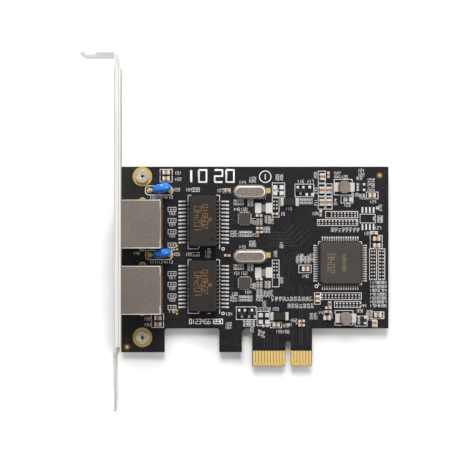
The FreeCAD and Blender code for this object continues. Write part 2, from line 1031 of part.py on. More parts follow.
def choke_core(place):
    """A ferrite drum: a squared base, a waist under the winding and a top flange with two flats."""
    foot = place + Vector(0, 0, choke_plate_thick)
    base = rod(foot, choke_base / 2, choke_flange)
    base = base.common(block(foot, choke_base_flat, choke_base_flat, choke_flange))
    waist_foot = foot + Vector(0, 0, choke_flange)
    waist = pin(waist_foot, choke_winding_radius / 2, choke_winding_height)
    cap_foot = waist_foot + Vector(0, 0, choke_winding_height)
    cap = rod(cap_foot, choke_top_radius, choke_flange)
    cap = cap.common(block(cap_foot, choke_top_flat, 2 * choke_top_radius, choke_flange))
    return [base.fuse([waist, cap]).removeSplitter()]


def choke_winding(place):
    foot = place + Vector(0, 0, choke_plate_thick + choke_flange)
    coil = rod(foot, choke_winding_radius, choke_winding_height)
    return [coil.cut(pin(foot, choke_winding_radius / 2, choke_winding_height))]


def choke_plates(place):
    width = choke_plate_span / 2 - choke_plate_reach
    return [
        block(
            place + Vector(side * (choke_plate_reach + width / 2), 0, 0),
            width, choke_plate_width, choke_plate_thick,
        )
        for side in (-1, 1)
    ]


diode_spots = ((63.0, 21.8), (59.2, 92.5))


def diode_body(place):
    foot = place + Vector(0, 0, diode_standoff)
    return [tapered_block(foot, diode_length, diode_width, diode_height, diode_draft)]


def diode_plates(place):
    width = (diode_span - diode_length) / 2
    return [
        block(
            place + Vector(side * (diode_length + width) / 2, 0, 0),
            width, diode_plate_width, diode_plate_thick,
        )
        for side in (-1, 1)
    ]


def on_board(places, pieces_at):
    """The pieces that a function makes at each place, fitted to the board."""
    solids = []
    for place in places:
        solids += fitted(pieces_at(spot(*place)), spot(*place))
    return solids


# Each place has the turn of the package and the leads on its two long sides
transistor_spots = (
    ((67.1, 14.6), 0, (-1, 1), (0,)),
    ((45.2, 90.6), 0, (-1, 1), (0,)),
    ((48.9, 90.6), 180, (-1, 1), (0,)),
)
regulator_spots = (
    ((89.7, 12.6), 90, (-1, 0, 1), (-1, 1)),
    ((90.1, 95.0), 90, (-1, 0, 1), (-1, 1)),
)


def small_package(place, angle):
    """The moulded body of a small three- or five-lead package."""
    foot = Vector(0, 0, transistor_standoff)
    body = tapered_block(foot, transistor_length, transistor_width, transistor_height, transistor_draft)
    return turned(body, angle, place)


def small_packages(places):
    bodies = []
    for place, angle, _, _ in places:
        bodies += fitted([small_package(spot(*place), angle)], spot(*place))
    return bodies


def small_package_leads(places):
    solids = []
    lead = gull_wing(
        transistor_width / 2 - seat, transistor_span / 2, transistor_exit, transistor_foot,
        transistor_lead_thick, transistor_lead,
    )
    for place, angle, far_side, near_side in places:
        body = small_package(spot(*place), angle)
        leads = []
        for quarter, slots in ((90, far_side), (270, near_side)):
            for slot in slots:
                offset = FreeCAD.Rotation(Vector(0, 0, 1), angle).multVec(
                    Vector(slot * transistor_pitch, 0, 0)
                )
                leads.append(turned(lead, angle + quarter, spot(*place) + offset).cut(body))
        solids += fitted(leads, spot(*place))
    return solids


def chip_body(place, size, across):
    length, width, height = size
    middle = length * (1 - 2 * chip_end)
    if across:
        return block(place, middle, width, height)
    return block(place, width, middle, height)


def chip_ends(place, size, across):
    """The two metal ends of a chip part."""
    length, width, height = size
    cap = length * chip_end
    ends = []
    for side in (-1, 1):
        offset = side * (length - cap) / 2
        if across:
            ends.append(block(place + Vector(offset, 0, 0), cap, width, height))
        else:
            ends.append(block(place + Vector(0, offset, 0), width, cap, height))
    return ends


large_chips_across = (
    (16.8, 3.5), (16.8, 7.3), (13.7, 93.5), (13.7, 97.4), (93.9, 17.8), (95.6, 44.5), (95.6, 48.7),
    (69.0, 63.2), (77.0, 93.5), (96.0, 91.8), (58.0, 97.6),
)
large_chips_upright = (
    (75.2, 6.2), (75.1, 14.5), (77.7, 14.5), (75.1, 22.1), (77.7, 22.1), (73.6, 81.5), (94.8, 96.6),
)
medium_chips_across = (
    (94.4, 41.2), (39.7, 14.8), (39.7, 54.9), (51.6, 30.2), (51.7, 38.0), (51.7, 40.4), (57.5, 29.1),
    (51.6, 69.4), (67.5, 95.4), (67.5, 98.0), (77.5, 87.2), (77.5, 89.6), (53.9, 98.4),
)
medium_chips_upright = ((77.5, 5.1), (74.6, 28.8))


def small_chip_row(first, count):
    """Upright chips side by side."""
    start = spot(*first)
    return [(start + Vector(index * small_pitch * fit, 0, 0), False) for index in range(count)]


def small_chip_column(first, count):
    """Chips across, one under the other."""
    start = spot(*first)
    return [(start - Vector(0, index * column_pitch * fit, 0), True) for index in range(count)]


def small_chip_places():
    """The place of each small chip, and whether it lies across."""
    places = []
    rows = (
        ((78.7, 29.6), 8), ((74.1, 34.5), 12), ((75.2, 80.1), 12), ((80.7, 85.4), 8),
        ((67.2, 21.4), 4), ((44.6, 41.6), 4), ((44.6, 81.5), 4), ((42.7, 22.0), 3), ((42.7, 62.0), 3),
        ((57.2, 67.7), 2), ((78.0, 84.9), 1),
    )
    columns = (
        ((94.2, 52.4), 9), ((97.4, 52.4), 9), ((96.8, 31.3), 2),
        ((48.3, 21.2), 2), ((48.3, 61.3), 2), ((51.7, 33.0), 2), ((54.8, 31.4), 2), ((51.7, 71.8), 2),
        ((54.8, 71.8), 2), ((51.7, 76.6), 2), ((57.7, 21.5), 3), ((57.7, 59.9), 3), ((92.9, 89.8), 3),
        ((46.7, 95.7), 2), ((48.9, 95.7), 2), ((66.5, 56.5), 2), ((69.5, 56.5), 2),
    )
    singles = (
        (19.1, 26.5), (19.1, 33.3), (19.1, 40.3), (19.1, 66.1), (19.1, 72.9), (19.1, 80.0), (19.1, 87.1),
        (19.0, 48.4), (89.1, 7.2), (90.1, 17.8), (89.3, 89.2), (61.7, 98.2), (27.8, 14.3), (27.8, 54.6),
    )
    for first, count in rows:
        places += small_chip_row(first, count)
    for first, count in columns:
        places += small_chip_column(first, count)
    for first in singles:
        places += small_chip_column(first, 1)
    return places


def large_chips():
    """The bodies and the metal ends of the largest chip parts."""
    bodies = []
    ends = []
    for places, across in ((large_chips_across, True), (large_chips_upright, False)):
        for share in places:
            place = spot(*share)
            bodies += fitted([chip_body(place, large_chip, across)], place)
            ends += fitted(chip_ends(place, large_chip, across), place)
    return bodies, ends


def plain_chips(size, places):
    """Chips as one block each, their ends included."""
    length, width, height = size
    chips = []
    for place, across in places:
        chip = block(place, length, width, height) if across else block(place, width, length, height)
        chips += fitted([chip], place)
    return chips


def medium_chip_places():
    places = [(spot(*place), True) for place in medium_chips_across]
    return places + [(spot(*place), False) for place in medium_chips_upright]


def build():
    os.makedirs("parts", exist_ok=True)
    save("bracket", bracket())
    save("bracket_screws", bracket_screws())
    save("circuit_board", circuit_board())
    save("edge_contacts", edge_contacts())
    for index, name in enumerate(("upper", "lower")):
        port_y = port_ys[index]
        magnetics = transformer_place(port_y)
        save(f"{name}_jack_shield", jack_shield(port_y))
        save(f"{name}_jack_housing", jack_housing(port_y))
        save(f"{name}_jack_contacts", jack_contacts(port_y))
        save(f"{name}_transformer", fitted([transformer_body(magnetics)], magnetics))
        save(f"{name}_transformer_leads", fitted(transformer_lead_row(magnetics), magnetics))
        save(f"{name}_port_chip", fitted([port_chip(index)], port_chip_spots()[index]))
        save(f"{name}_crystal", fitted([crystal(index)], crystal_spots()[index]))
        save(f"{name}_disc_capacitor", fitted([disc_body(index)], disc_spots()[index]))
        save(f"{name}_disc_capacitor_leads", fitted(disc_leads(index), disc_spots()[index]))
    save("link_lamp_windows", lamp_windows(1))
    save("activity_lamp_windows", lamp_windows(-1))
    controller = controller_place()
    save("controller_chip", fitted([controller_package()], controller))
    save("controller_leads", fitted(controller_lead_frame(), controller))
    save("inductor_cores", on_board(choke_spots, choke_core))
    save("inductor_windings", on_board(choke_spots, choke_winding))
    save("inductor_terminals", on_board(choke_spots, choke_plates))
    save("diode_bodies", on_board(diode_spots, diode_body))
    save("diode_terminals", on_board(diode_spots, diode_plates))
    save("transistor_bodies", small_packages(transistor_spots))
    save("transistor_leads", small_package_leads(transistor_spots))
    save("regulator_bodies", small_packages(regulator_spots))
    save("regulator_leads", small_package_leads(regulator_spots))
    bodies, ends = large_chips()
    save("large_chip_bodies", bodies)
    save("large_chip_ends", ends)
    save("medium_chips", plain_chips(medium_chip, medium_chip_places()))
    save("small_chips", plain_chips(small_chip, small_chip_places()))


build()
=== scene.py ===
import math

import bmesh
import bpy
from mathutils import Matrix, Vector


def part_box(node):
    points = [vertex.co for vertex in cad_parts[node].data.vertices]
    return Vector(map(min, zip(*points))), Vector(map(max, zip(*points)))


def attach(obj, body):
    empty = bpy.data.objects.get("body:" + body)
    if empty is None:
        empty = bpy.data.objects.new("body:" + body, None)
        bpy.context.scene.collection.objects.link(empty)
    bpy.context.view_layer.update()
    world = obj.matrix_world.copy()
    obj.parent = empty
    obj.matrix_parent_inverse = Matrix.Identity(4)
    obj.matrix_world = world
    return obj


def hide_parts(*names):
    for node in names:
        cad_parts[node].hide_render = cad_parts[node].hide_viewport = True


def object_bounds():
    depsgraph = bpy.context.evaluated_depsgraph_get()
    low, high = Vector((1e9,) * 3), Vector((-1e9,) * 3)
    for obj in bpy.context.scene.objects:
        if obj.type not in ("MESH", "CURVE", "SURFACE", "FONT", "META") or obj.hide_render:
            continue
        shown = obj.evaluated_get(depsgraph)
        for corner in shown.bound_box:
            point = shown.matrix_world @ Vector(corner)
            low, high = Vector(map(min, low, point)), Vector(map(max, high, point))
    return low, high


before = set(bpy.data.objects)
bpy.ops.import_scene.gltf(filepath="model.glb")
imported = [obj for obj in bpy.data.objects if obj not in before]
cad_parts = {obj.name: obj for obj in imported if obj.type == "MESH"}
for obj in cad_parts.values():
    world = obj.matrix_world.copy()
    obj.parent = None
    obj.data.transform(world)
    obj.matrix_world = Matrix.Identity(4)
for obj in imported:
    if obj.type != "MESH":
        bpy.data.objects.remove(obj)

bl_info = {
    "name": "Network card finishes",
    "version": (1, 0, 0),
    "blender": (4, 5, 0),
    "location": "3D View > Sidebar > Card",
    "description": "Dresses the packed network card with its print, copper, solder, finishes and stage",
    "category": "Object",
}

MM = 0.001
CAD_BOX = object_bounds()
BOARD_LOW, BOARD_HIGH = (Vector(corner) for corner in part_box("circuit_board"))
FACE = BOARD_HIGH.z
BACK = BOARD_LOW.z
PORTS = ("upper", "lower")
PORT_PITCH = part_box("upper_jack_shield")[0][1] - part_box("lower_jack_shield")[0][1]
# How far down the parts of each port lie, in millimetres
PORT_DROPS = (0, PORT_PITCH / MM)
# The bracket's outer face
PANEL_OUTSIDE = BOARD_LOW.x - 1.36 * MM
# Steps of a round ring
RING_STEPS = 48


def web_colour(code):
    """A web colour as the linear values that Blender works in."""
    parts = [int(code[start:start + 2], 16) / 255 for start in (1, 3, 5)]
    return tuple(part / 12.92 if part < 0.04045 else ((part + 0.055) / 1.055) ** 2.4 for part in parts)


def size(name, description, default):
    return bpy.props.FloatProperty(
        name=name, description=description, default=default * MM, min=0.0, precision=5, unit="LENGTH"
    )


def tint(name, description, code):
    return bpy.props.FloatVectorProperty(
        name=name, description=description, default=web_colour(code), min=0.0, max=1.0, subtype="COLOR"
    )


class CardSizes(bpy.types.PropertyGroup):
    """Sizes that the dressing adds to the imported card."""

    print_line: size("Print line", "Width of the white printed lines", 0.23)
    print_height: size("Print height", "How far the print stands on the board", 0.03)
    copper_height: size("Copper height", "How far bare copper and solder stand on the board", 0.04)
    track: size("Track", "Width of a fine copper track", 0.22)
    sheet_edge: size("Sheet edge", "Rounding of the bracket's edges", 0.2)
    shield_edge: size("Shield edge", "Rounding of the jack shields' edges", 0.2)
    moulded_edge: size("Moulded edge", "Rounding of moulded packages", 0.16)
    can_edge: size("Can edge", "Rounding of the crystal cans", 0.3)
    screw_ring: size("Screw ring", "Radius of the gold ring round a screw", 3.3)
    number_line: size("Number line", "Width of the strokes of small printed numbers", 0.13)
    lead_slope: size("Lead slope", "Length of the sloping part of a bent lead", 1.7)
    flange_lip: size("Flange lip", "How far the bracket's upper flange reaches on over the jacks", 1.02)


class CardColours(bpy.types.PropertyGroup):
    """Colours of the card's finishes."""

    mask: tint("Solder mask", "Black mask over the laminate", "#131117")
    mask_copper: tint("Masked copper", "Mask where copper lies under it", "#2c292b")
    laminate: tint("Laminate", "Bare edge of the board", "#5f4933")
    ink: tint("Print", "White printed lines", "#f3f3f1")
    gold: tint("Gold", "Gold plating", "#e6c46c")
    contact_gold: tint("Contact gold", "Hard gold of the edge contacts", "#efcc80")
    tin: tint("Tin", "Solder and tinned leads", "#e6e5e2")
    nickel: tint("Nickel", "Plated bracket", "#faf8f4")
    shield: tint("Shield", "Tinned jack shields", "#a2978e")
    # Painted shade: the shields' walls are darker than their tops because of how light falls.
    shield_wall_shade: tint("Shield side", "Walls of the jack shields", "#83776a")
    # Painted golden reflection on the shields' folded edges.
    shield_fold_reflection: tint("Shield fold", "Worn folds of the jack shields", "#a8865c")
    zinc: tint("Zinc", "Plated screws", "#fbeee0")
    can: tint("Can", "Drawn crystal cans", "#a0968a")
    # Painted highlight on the crystal cans' rims.
    can_rim_highlight: tint("Can fold", "Worn rims of the crystal cans", "#f6ecdf")
    plastic: tint("Jack plastic", "Moulded jack housings", "#17171a")
    moulding: tint("Moulding", "Moulded packages", "#2b2723")
    controller: tint("Controller", "Moulded controller", "#433f3b")
    lacquer: tint("Lacquer", "Dipped disc capacitors", "#1c7ee8")
    ferrite: tint("Ferrite", "Inductor cores", "#837a73")
    copper: tint("Copper", "Inductor windings", "#b96a36")
    ceramic: tint("Ceramic", "Chip capacitors", "#b08058")
    small_ceramic: tint("Small ceramic", "Smallest chip parts", "#5f4a3b")
    marking: tint("Marking", "Numbers on the transformers", "#7f5f3c")
    faint_marking: tint("Faint marking", "Numbers on the controller", "#8a795c")
    green: tint("Green lamp", "Link lamp window", "#79d68a")
    amber: tint("Amber lamp", "Activity lamp window", "#f0b04a")
    floor: tint("Floor", "Table and backdrop", "#ececec")


def sizes():
    return bpy.context.scene.card_sizes


def colours():
    return bpy.context.scene.card_colours


# Finishes


def joined(tree, kind, inputs=(), **settings):
    """A new node in a tree, with its settings made and its inputs set or linked."""
    made = tree.nodes.new(kind)
    for name, value in settings.items():
        setattr(made, name, value)
    for name, value in dict(inputs).items():
        if isinstance(value, bpy.types.NodeSocket):
            tree.links.new(value, made.inputs[name])
        else:
            made.inputs[name].default_value = value
    return made


def new_shader(name):
    material = bpy.data.materials.new(name)
    material.use_nodes = True
    return material.node_tree, material.node_tree.nodes["Principled BSDF"]


def object_pattern(tree, stretch=(1, 1, 1)):
    place = joined(tree, "ShaderNodeTexCoord").outputs["Object"]
    return joined(tree, "ShaderNodeMapping", {"Vector": place, "Scale": stretch}).outputs["Vector"]


def part_of(tree, vector, axis):
    return joined(tree, "ShaderNodeSeparateXYZ", {"Vector": vector}).outputs[axis]


def noise(tree, vector, grain, detail=4.0, roughness=0.6):
    """Noise whose grains are about that many metres across."""
    inputs = {"Vector": vector, "Scale": 1 / grain, "Detail": detail, "Roughness": roughness}
    return joined(tree, "ShaderNodeTexNoise", inputs).outputs["Fac"]


def ramp(tree, value, low, high, first=0.0, last=1.0):
    """The value stretched so that low becomes the first number and high the last."""
    inputs = {"Value": value, "From Min": low, "From Max": high, "To Min": first, "To Max": last}
    return joined(tree, "ShaderNodeMapRange", inputs).outputs["Result"]


def blend(tree, factor, first, second):
    """The first colour where the factor is 0 and the second where it is 1."""
    inputs = {"Factor": factor}
    for socket, colour in ((6, first), (7, second)):
        inputs[socket] = colour if isinstance(colour, bpy.types.NodeSocket) else (*colour[:3], 1)
    return joined(tree, "ShaderNodeMix", inputs, data_type="RGBA").outputs[2]


def for_camera(tree, lighting, seen):
    """One shader for the light that falls on the card and another for what the camera sees."""
    rays = joined(tree, "ShaderNodeLightPath").outputs["Is Camera Ray"]
    return joined(tree, "ShaderNodeMixShader", {"Fac": rays, 1: lighting, 2: seen}).outputs["Shader"]


def facing_up(tree, low=0.4, high=0.6):
    """1 on faces that lie flat and 0 on walls."""
    normal = joined(tree, "ShaderNodeNewGeometry").outputs["Normal"]
    upright = joined(tree, "ShaderNodeMath", {0: part_of(tree, normal, "Z")}, operation="ABSOLUTE")
    return ramp(tree, upright.outputs["Value"], low, high)


def away_from(tree, place):
    """0 on a narrow line along Y at that X, and 1 away from it: the mask of a painted shade line."""
    across = part_of(tree, object_pattern(tree), "X")
    distance = joined(tree, "ShaderNodeMath", {0: across, 1: place}, operation="SUBTRACT")
    length = joined(tree, "ShaderNodeMath", {0: distance.outputs["Value"]}, operation="ABSOLUTE")
    core = 0.03 * MM
    faded = 0.27 * MM
    return ramp(tree, length.outputs["Value"], core, faded)


def darker(colour, share):
    return tuple(part * share for part in colour[:3])


def surface(tree, shader, colour, pattern, roughness, bump, depth=0.02 * MM, values=()):
    """Give a shader its colour, uneven gloss and relief, and other values by their names."""
    relief = joined(tree, "ShaderNodeBump", {"Strength": bump, "Distance": depth, "Height": pattern})
    tree.links.new(colour, shader.inputs["Base Color"])
    tree.links.new(ramp(tree, pattern, 0.0, 1.0, *roughness), shader.inputs["Roughness"])
    tree.links.new(relief.outputs["Normal"], shader.inputs["Normal"])
    for name, value in dict(values).items():
        shader.inputs[name].default_value = value


def metal_finish(name, colour, grain, roughness, metallic, stain=0.86, contrast=0.9, relief=0.12,
                 side=None, fold=None, stretch=(1, 1, 1), lines=(), pit=None):
    """Plated or rolled metal: fine grain, slow stains, uneven gloss, painted shade on walls and painted light
    on folds.

    It has painted shade on lines at given distances inside the panel's outer face, and painted shade where a
    recess goes down to the pit height.
    """
    stain_grain = 14 * MM
    pit_depth = 0.66 * MM
    pit_shade = 0.12
    tree, shader = new_shader(name)
    fine = noise(tree, object_pattern(tree, stretch), grain)
    slow = noise(tree, object_pattern(tree), stain_grain, 2)
    tone = blend(tree, ramp(tree, slow, 0.35, 0.65), darker(colour, stain), colour)
    grained = blend(tree, ramp(tree, fine, 0.3, 0.7), darker(colour, contrast), tone)
    # Painted light by how a face is turned: the side colour is painted shade on walls. The fold colour goes
    # on the tilted faces of folds and rounded edges, as a painted highlight on some finishes and painted
    # shade on others.
    if side:
        folded = blend(tree, facing_up(tree, 0.9, 0.99), fold, grained)
        grained = blend(tree, facing_up(tree), side, folded)
    # Painted shade along lines at given distances inside the panel's outer face.
    for depth, shade in lines:
        grained = blend(tree, away_from(tree, PANEL_OUTSIDE + depth), darker(colour, shade), grained)
    # Painted shade in a recess, darkest at the pit height and fading out a pit depth above it.
    if pit:
        above = ramp(tree, part_of(tree, object_pattern(tree), "Z"), pit, pit + pit_depth)
        grained = blend(tree, above, darker(colour, pit_shade), grained)
    surface(tree, shader, grained, fine, roughness, relief, values={"Metallic": metallic})


def moulded_finish(name, colour, grain=0.12 * MM, roughness=(0.4, 0.6), bump=0.25, contrast=0.72):
    """Moulding compound or ceramic: dull, with a fine grain and a slow change of tone."""
    tree, shader = new_shader(name)
    vector = object_pattern(tree)
    fine = noise(tree, vector, grain, 6)
    slow = noise(tree, vector, 5 * MM, 2)
    grained = blend(tree, ramp(tree, fine, 0.3, 0.7), darker(colour, contrast), colour)
    tone = blend(tree, ramp(tree, slow, 0.3, 0.7), grained, colour)
    surface(tree, shader, tone, fine, roughness, bump, values={"Specular IOR Level": 0.25})


def mask_finish(name, mask, edge, speck):
    """Solder mask over woven laminate, with the bare laminate at the board's cut edges."""
    tree, shader = new_shader(name)
    vector = object_pattern(tree)
    thread = 0.9 * MM
    threads = {"Scale": 1 / thread, "Distortion": 1.5, "Vector": vector}
    weave = joined(tree, "ShaderNodeTexWave", threads, wave_type="BANDS", bands_direction="X")
    fine = noise(tree, vector, 0.5 * MM, 3, 0.7)
    slow = noise(tree, vector, 9 * MM, 3)
    specks = blend(tree, ramp(tree, fine, 0.45, 0.7), darker(mask, 0.6), speck)
    tone = blend(tree, ramp(tree, slow, 0.2, 0.55), mask, specks)
    cut = blend(tree, weave.outputs["Fac"], darker(edge, 0.6), edge)
    colour = blend(tree, facing_up(tree), cut, tone)
    surface(tree, shader, colour, fine, (0.35, 0.5), 0.2, values={"Specular IOR Level": 0.3})


def lacquer_finish(name, colour):
    """Dipped lacquer: glossy, with a soft orange-peel surface."""
    tree, shader = new_shader(name)
    peel = noise(tree, object_pattern(tree), 0.9 * MM, 2)
    deep = blend(tree, ramp(tree, peel, 0.3, 0.7), darker(colour, 0.82), colour)
    coat = {"Coat Weight": 0.6, "Coat Roughness": 0.08}
    surface(tree, shader, deep, peel, (0.2, 0.32), 0.3, 0.08 * MM, coat)


def lamp_finish(name, colour):
    """A clear tinted lamp window with its ribbed inner face shining through."""
    tree, shader = new_shader(name)
    rib = 0.5 * MM
    inputs = {"Scale": 1 / rib, "Vector": object_pattern(tree)}
    ribs = joined(tree, "ShaderNodeTexWave", inputs, bands_direction="Z").outputs["Fac"]
    striped = blend(tree, ribs, darker(colour, 0.6), colour)
    surface(tree, shader, striped, ribs, (0.15, 0.3), 0.3, 0.05 * MM, {"Transmission Weight": 0.35})


def finish(name):
    """The card's finishes by name, each made once."""
    made = f"card_{name}"
    if made not in bpy.data.materials:
        new_finish(made, name)
    return bpy.data.materials[made]


def new_finish(made, name):
    """Make the finish of that name as a material with the other name."""
    tints = colours()
    metals = {
        "gold": dict(colour=tints.gold, grain=0.2 * MM, roughness=(0.25, 0.4), stain=0.9, metallic=0.5),
        "contact_gold": dict(
            colour=tints.contact_gold, grain=0.2 * MM, roughness=(0.3, 0.45), stain=0.92, metallic=0.3
        ),
        "copper_wire": dict(colour=tints.copper, grain=0.2 * MM, roughness=(0.2, 0.35), metallic=1.0),
        "tin": dict(colour=tints.tin, grain=0.15 * MM, roughness=(0.3, 0.5), metallic=0.45),
        # A pale tin for the painted highlight lines along the shields' folds.
        "fold_highlight": dict(colour=tints.tin, grain=0.3 * MM, roughness=(0.3, 0.5), stain=0.8, metallic=0.3),
        # Lead: painted shade on the walls and sloping faces of the leads.
        "lead": dict(
            colour=tints.tin, grain=0.15 * MM, roughness=(0.3, 0.5), metallic=0.45,
            side=darker(tints.tin, 0.06), fold=darker(tints.tin, 0.12),
        ),
        # Nickel: painted shade on the bracket's walls, and painted shade lines along the outer bend, the
        # crease and the free edge of the upper flange.
        "nickel": dict(
            colour=tints.nickel, grain=0.25 * MM, roughness=(0.3, 0.45), stain=0.94, metallic=0.4,
            contrast=0.86, side=darker(tints.nickel, 0.62), fold=tints.nickel, stretch=(1, 0.05, 1),
            lines=((0.17 * MM, 0.6), (1.62 * MM, 0.66), (2.5 * MM, 0.1)),
        ),
        # Shield tin: painted shade on the walls and a painted golden reflection on the folded edges.
        "shield_tin": dict(
            colour=tints.shield, grain=0.4 * MM, roughness=(0.34, 0.55), metallic=0.85, contrast=0.5,
            relief=0.5, side=tints.shield_wall_shade, fold=tints.shield_fold_reflection,
        ),
        # Can steel: painted shade on the walls and a painted highlight on the rims.
        "can_steel": dict(
            colour=tints.can, grain=0.6 * MM, roughness=(0.35, 0.55), stain=0.8, metallic=0.55,
            contrast=0.36, relief=0.8, side=darker(tints.can, 0.25), fold=tints.can_rim_highlight,
        ),
        # Zinc: painted shade in the screw heads' recesses and round their lower edges.
        "zinc": dict(
            colour=tints.zinc, grain=0.9 * MM, roughness=(0.12, 0.3), stain=0.9, metallic=0.5, contrast=0.5,
            relief=0.9, pit=FACE + 0.7 * MM,
        ),
    }
    mouldings = {
        "masked_copper": dict(colour=tints.mask_copper, roughness=(0.28, 0.42)),
        "print_ink": dict(colour=tints.ink, roughness=(0.5, 0.7), contrast=0.8),
        "jack_plastic": dict(colour=tints.plastic),
        "package": dict(colour=tints.moulding),
        "controller": dict(colour=tints.controller),
        "laminate": dict(colour=tints.laminate),
        "ferrite": dict(colour=tints.ferrite, grain=0.8 * MM, roughness=(0.35, 0.6), bump=0.4, contrast=0.45),
        "chip_ceramic": dict(colour=tints.ceramic, roughness=(0.35, 0.5)),
        "small_ceramic": dict(colour=tints.small_ceramic, roughness=(0.35, 0.5)),
        "marking": dict(colour=tints.marking),
        "faint_marking": dict(colour=tints.faint_marking),
    }
    if name in metals:
        metal_finish(made, **metals[name])
    elif name in mouldings:
        moulded_finish(made, **mouldings[name])
    elif name == "mask":
        mask_finish(made, tints.mask, tints.laminate, tints.mask_copper)
    elif name == "lacquer":
        lacquer_finish(made, tints.lacquer)
    else:
        lamp_finish(made, {"green_lamp": tints.green, "amber_lamp": tints.amber}[name])


# Meshes


def cad_copy(node):
    """A merged copy of a CAD node's loose triangles."""
    mesh = bmesh.new()
    mesh.from_mesh(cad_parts[node].data)
    bmesh.ops.remove_doubles(mesh, verts=mesh.verts, dist=0.0005 * MM)
    return mesh


def solids_of(node):
    """The lowest and highest corner of each separate solid in a CAD node."""
    mesh = cad_copy(node)
    boxes = []
    seen = set()
    for start in mesh.verts:
        if start in seen:
            continue
        group = [start]
        seen.add(start)
        for vertex in group:
            for edge in vertex.link_edges:
                other = edge.other_vert(vertex)
                if other not in seen:
                    seen.add(other)
                    group.append(other)
        low = Vector([min(vertex.co[axis] for vertex in group) for axis in range(3)])
        high = Vector([max(vertex.co[axis] for vertex in group) for axis in range(3)])
        boxes.append((low, high))
    mesh.free()
    return boxes


def pins_of(node, width=1.0 * MM):
    """Where the pins of a CAD node come out of the solder side, each narrower than the width."""
    clear = 0.4 * MM
    mesh = cad_copy(node)
    centres = []
    for vertex in mesh.verts:
        if vertex.co.z > BACK - clear:
            continue
        for group in centres:
            if (group[0] - vertex.co).length < width:
                group.append(vertex.co.copy())
                break
        else:
            centres.append([vertex.co.copy()])
    mesh.free()
    return [sum(group, Vector()) / len(group) for group in centres]


def ready(piece, material, *nodes, slot):
    """A finished piece: painted, riding on the card and standing for its CAD nodes."""
    piece.data.materials.clear()
    piece.data.materials.append(finish(material))
    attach(piece, "root")
    if nodes:
        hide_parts(*nodes)
    return piece


def placed(name, data):
    """A new object in the scene that holds a mesh, a lamp or a camera."""
    piece = bpy.data.objects.new(name, data)
    bpy.context.scene.collection.objects.link(piece)
    return piece


def piece_from(name, mesh):
    data = bpy.data.meshes.new(name)
    mesh.to_mesh(data)
    mesh.free()
    return placed(name, data)


def smooth(piece, angle=35):
    piece.data.shade_smooth()
    piece.data.set_sharp_from_angle(angle=math.radians(angle))


def applied(piece):
    """The piece with its modifiers turned into plain mesh."""
    evaluated = piece.evaluated_get(bpy.context.evaluated_depsgraph_get())
    data = bpy.data.meshes.new_from_object(evaluated)
    piece.modifiers.clear()
    piece.data = data
    return piece


def dressed(name, node, material, slot, edge, segments=2, limit=28):
    """A finished copy of a CAD node with rounded edges, which stands for it."""
    mesh = cad_copy(node)
    flat = math.radians(1)
    bmesh.ops.dissolve_limit(mesh, angle_limit=flat, verts=mesh.verts, edges=mesh.edges, delimit={"NORMAL"})
    piece = piece_from(name, mesh)
    bevel = piece.modifiers.new("edges", "BEVEL")
    bevel.width = edge
    bevel.segments = segments
    bevel.limit_method = "ANGLE"
    bevel.angle_limit = math.radians(limit)
    bevel.use_clamp_overlap = True
    bevel.harden_normals = True
    smooth(piece)
    return ready(applied(piece), material, node, slot=slot)


def paint(node, material):
    """A CAD node that stays as it is, with its finish."""
    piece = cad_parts[node]
    piece.data.materials.clear()
    piece.data.materials.append(finish(material))


# Geometry Nodes


def new_tree(name, inputs):
    """An empty Geometry Nodes tree with a geometry input and these named inputs."""
    tree = bpy.data.node_groups.new(name, "GeometryNodeTree")
    tree.interface.new_socket("Geometry", in_out="INPUT", socket_type="NodeSocketGeometry")
    for label, kind in inputs.items():
        tree.interface.new_socket(label, in_out="INPUT", socket_type=kind)
    tree.interface.new_socket("Geometry", in_out="OUTPUT", socket_type="NodeSocketGeometry")
    return tree, tree.nodes.new("NodeGroupInput"), tree.nodes.new("NodeGroupOutput")


def named_vector(tree, name):
    made = joined(tree, "GeometryNodeInputNamedAttribute", {"Name": name}, data_type="FLOAT_VECTOR")
    return made.outputs["Attribute"]


def scatter_tree():
    """Copies of one small shape on points, each with its own size and turn."""
    tree = bpy.data.node_groups.get("scatter")
    if tree:
        return tree
    tree, start, end = new_tree("scatter", {"Shape": "NodeSocketObject"})
    shape = joined(tree, "GeometryNodeObjectInfo", {"Object": start.outputs["Shape"]})
    turn = joined(tree, "FunctionNodeEulerToRotation", {"Euler": named_vector(tree, "turn")})
    inputs = {
        "Points": start.outputs["Geometry"],
        "Instance": shape.outputs["Geometry"],
        "Scale": named_vector(tree, "widths"),
        "Rotation": turn.outputs["Rotation"],
    }
    copies = joined(tree, "GeometryNodeInstanceOnPoints", inputs).outputs["Instances"]
    real = joined(tree, "GeometryNodeRealizeInstances", {"Geometry": copies}).outputs["Geometry"]
    tree.links.new(real, end.inputs["Geometry"])
    return tree


def strip_tree():
    """A flat strip along every line of a mesh."""
    tree = bpy.data.node_groups.get("strip")
    if tree:
        return tree
    tree, start, end = new_tree("strip", {"Width": "NodeSocketFloat", "Height": "NodeSocketFloat"})
    curve = joined(tree, "GeometryNodeMeshToCurve", {"Mesh": start.outputs["Geometry"]}).outputs["Curve"]
    level = joined(tree, "GeometryNodeSetCurveNormal", {"Curve": curve}, mode="Z_UP").outputs["Curve"]
    inputs = {"Width": start.outputs["Width"], "Height": start.outputs["Height"]}
    profile = joined(tree, "GeometryNodeCurvePrimitiveQuadrilateral", inputs).outputs["Curve"]
    inputs = {"Curve": level, "Profile Curve": profile, "Fill Caps": True}
    swept = joined(tree, "GeometryNodeCurveToMesh", inputs).outputs["Mesh"]
    tree.links.new(swept, end.inputs["Geometry"])
    return tree


def grown(name, data, tree, values):
    """A plain mesh made by a Geometry Nodes tree from a start mesh."""
    piece = placed(name, data)
    modifier = piece.modifiers.new("grow", "NODES")
    modifier.node_group = tree
    for item in tree.interface.items_tree:
        if item.in_out == "INPUT" and item.name in values:
            modifier[item.identifier] = values[item.name]
    return applied(piece)


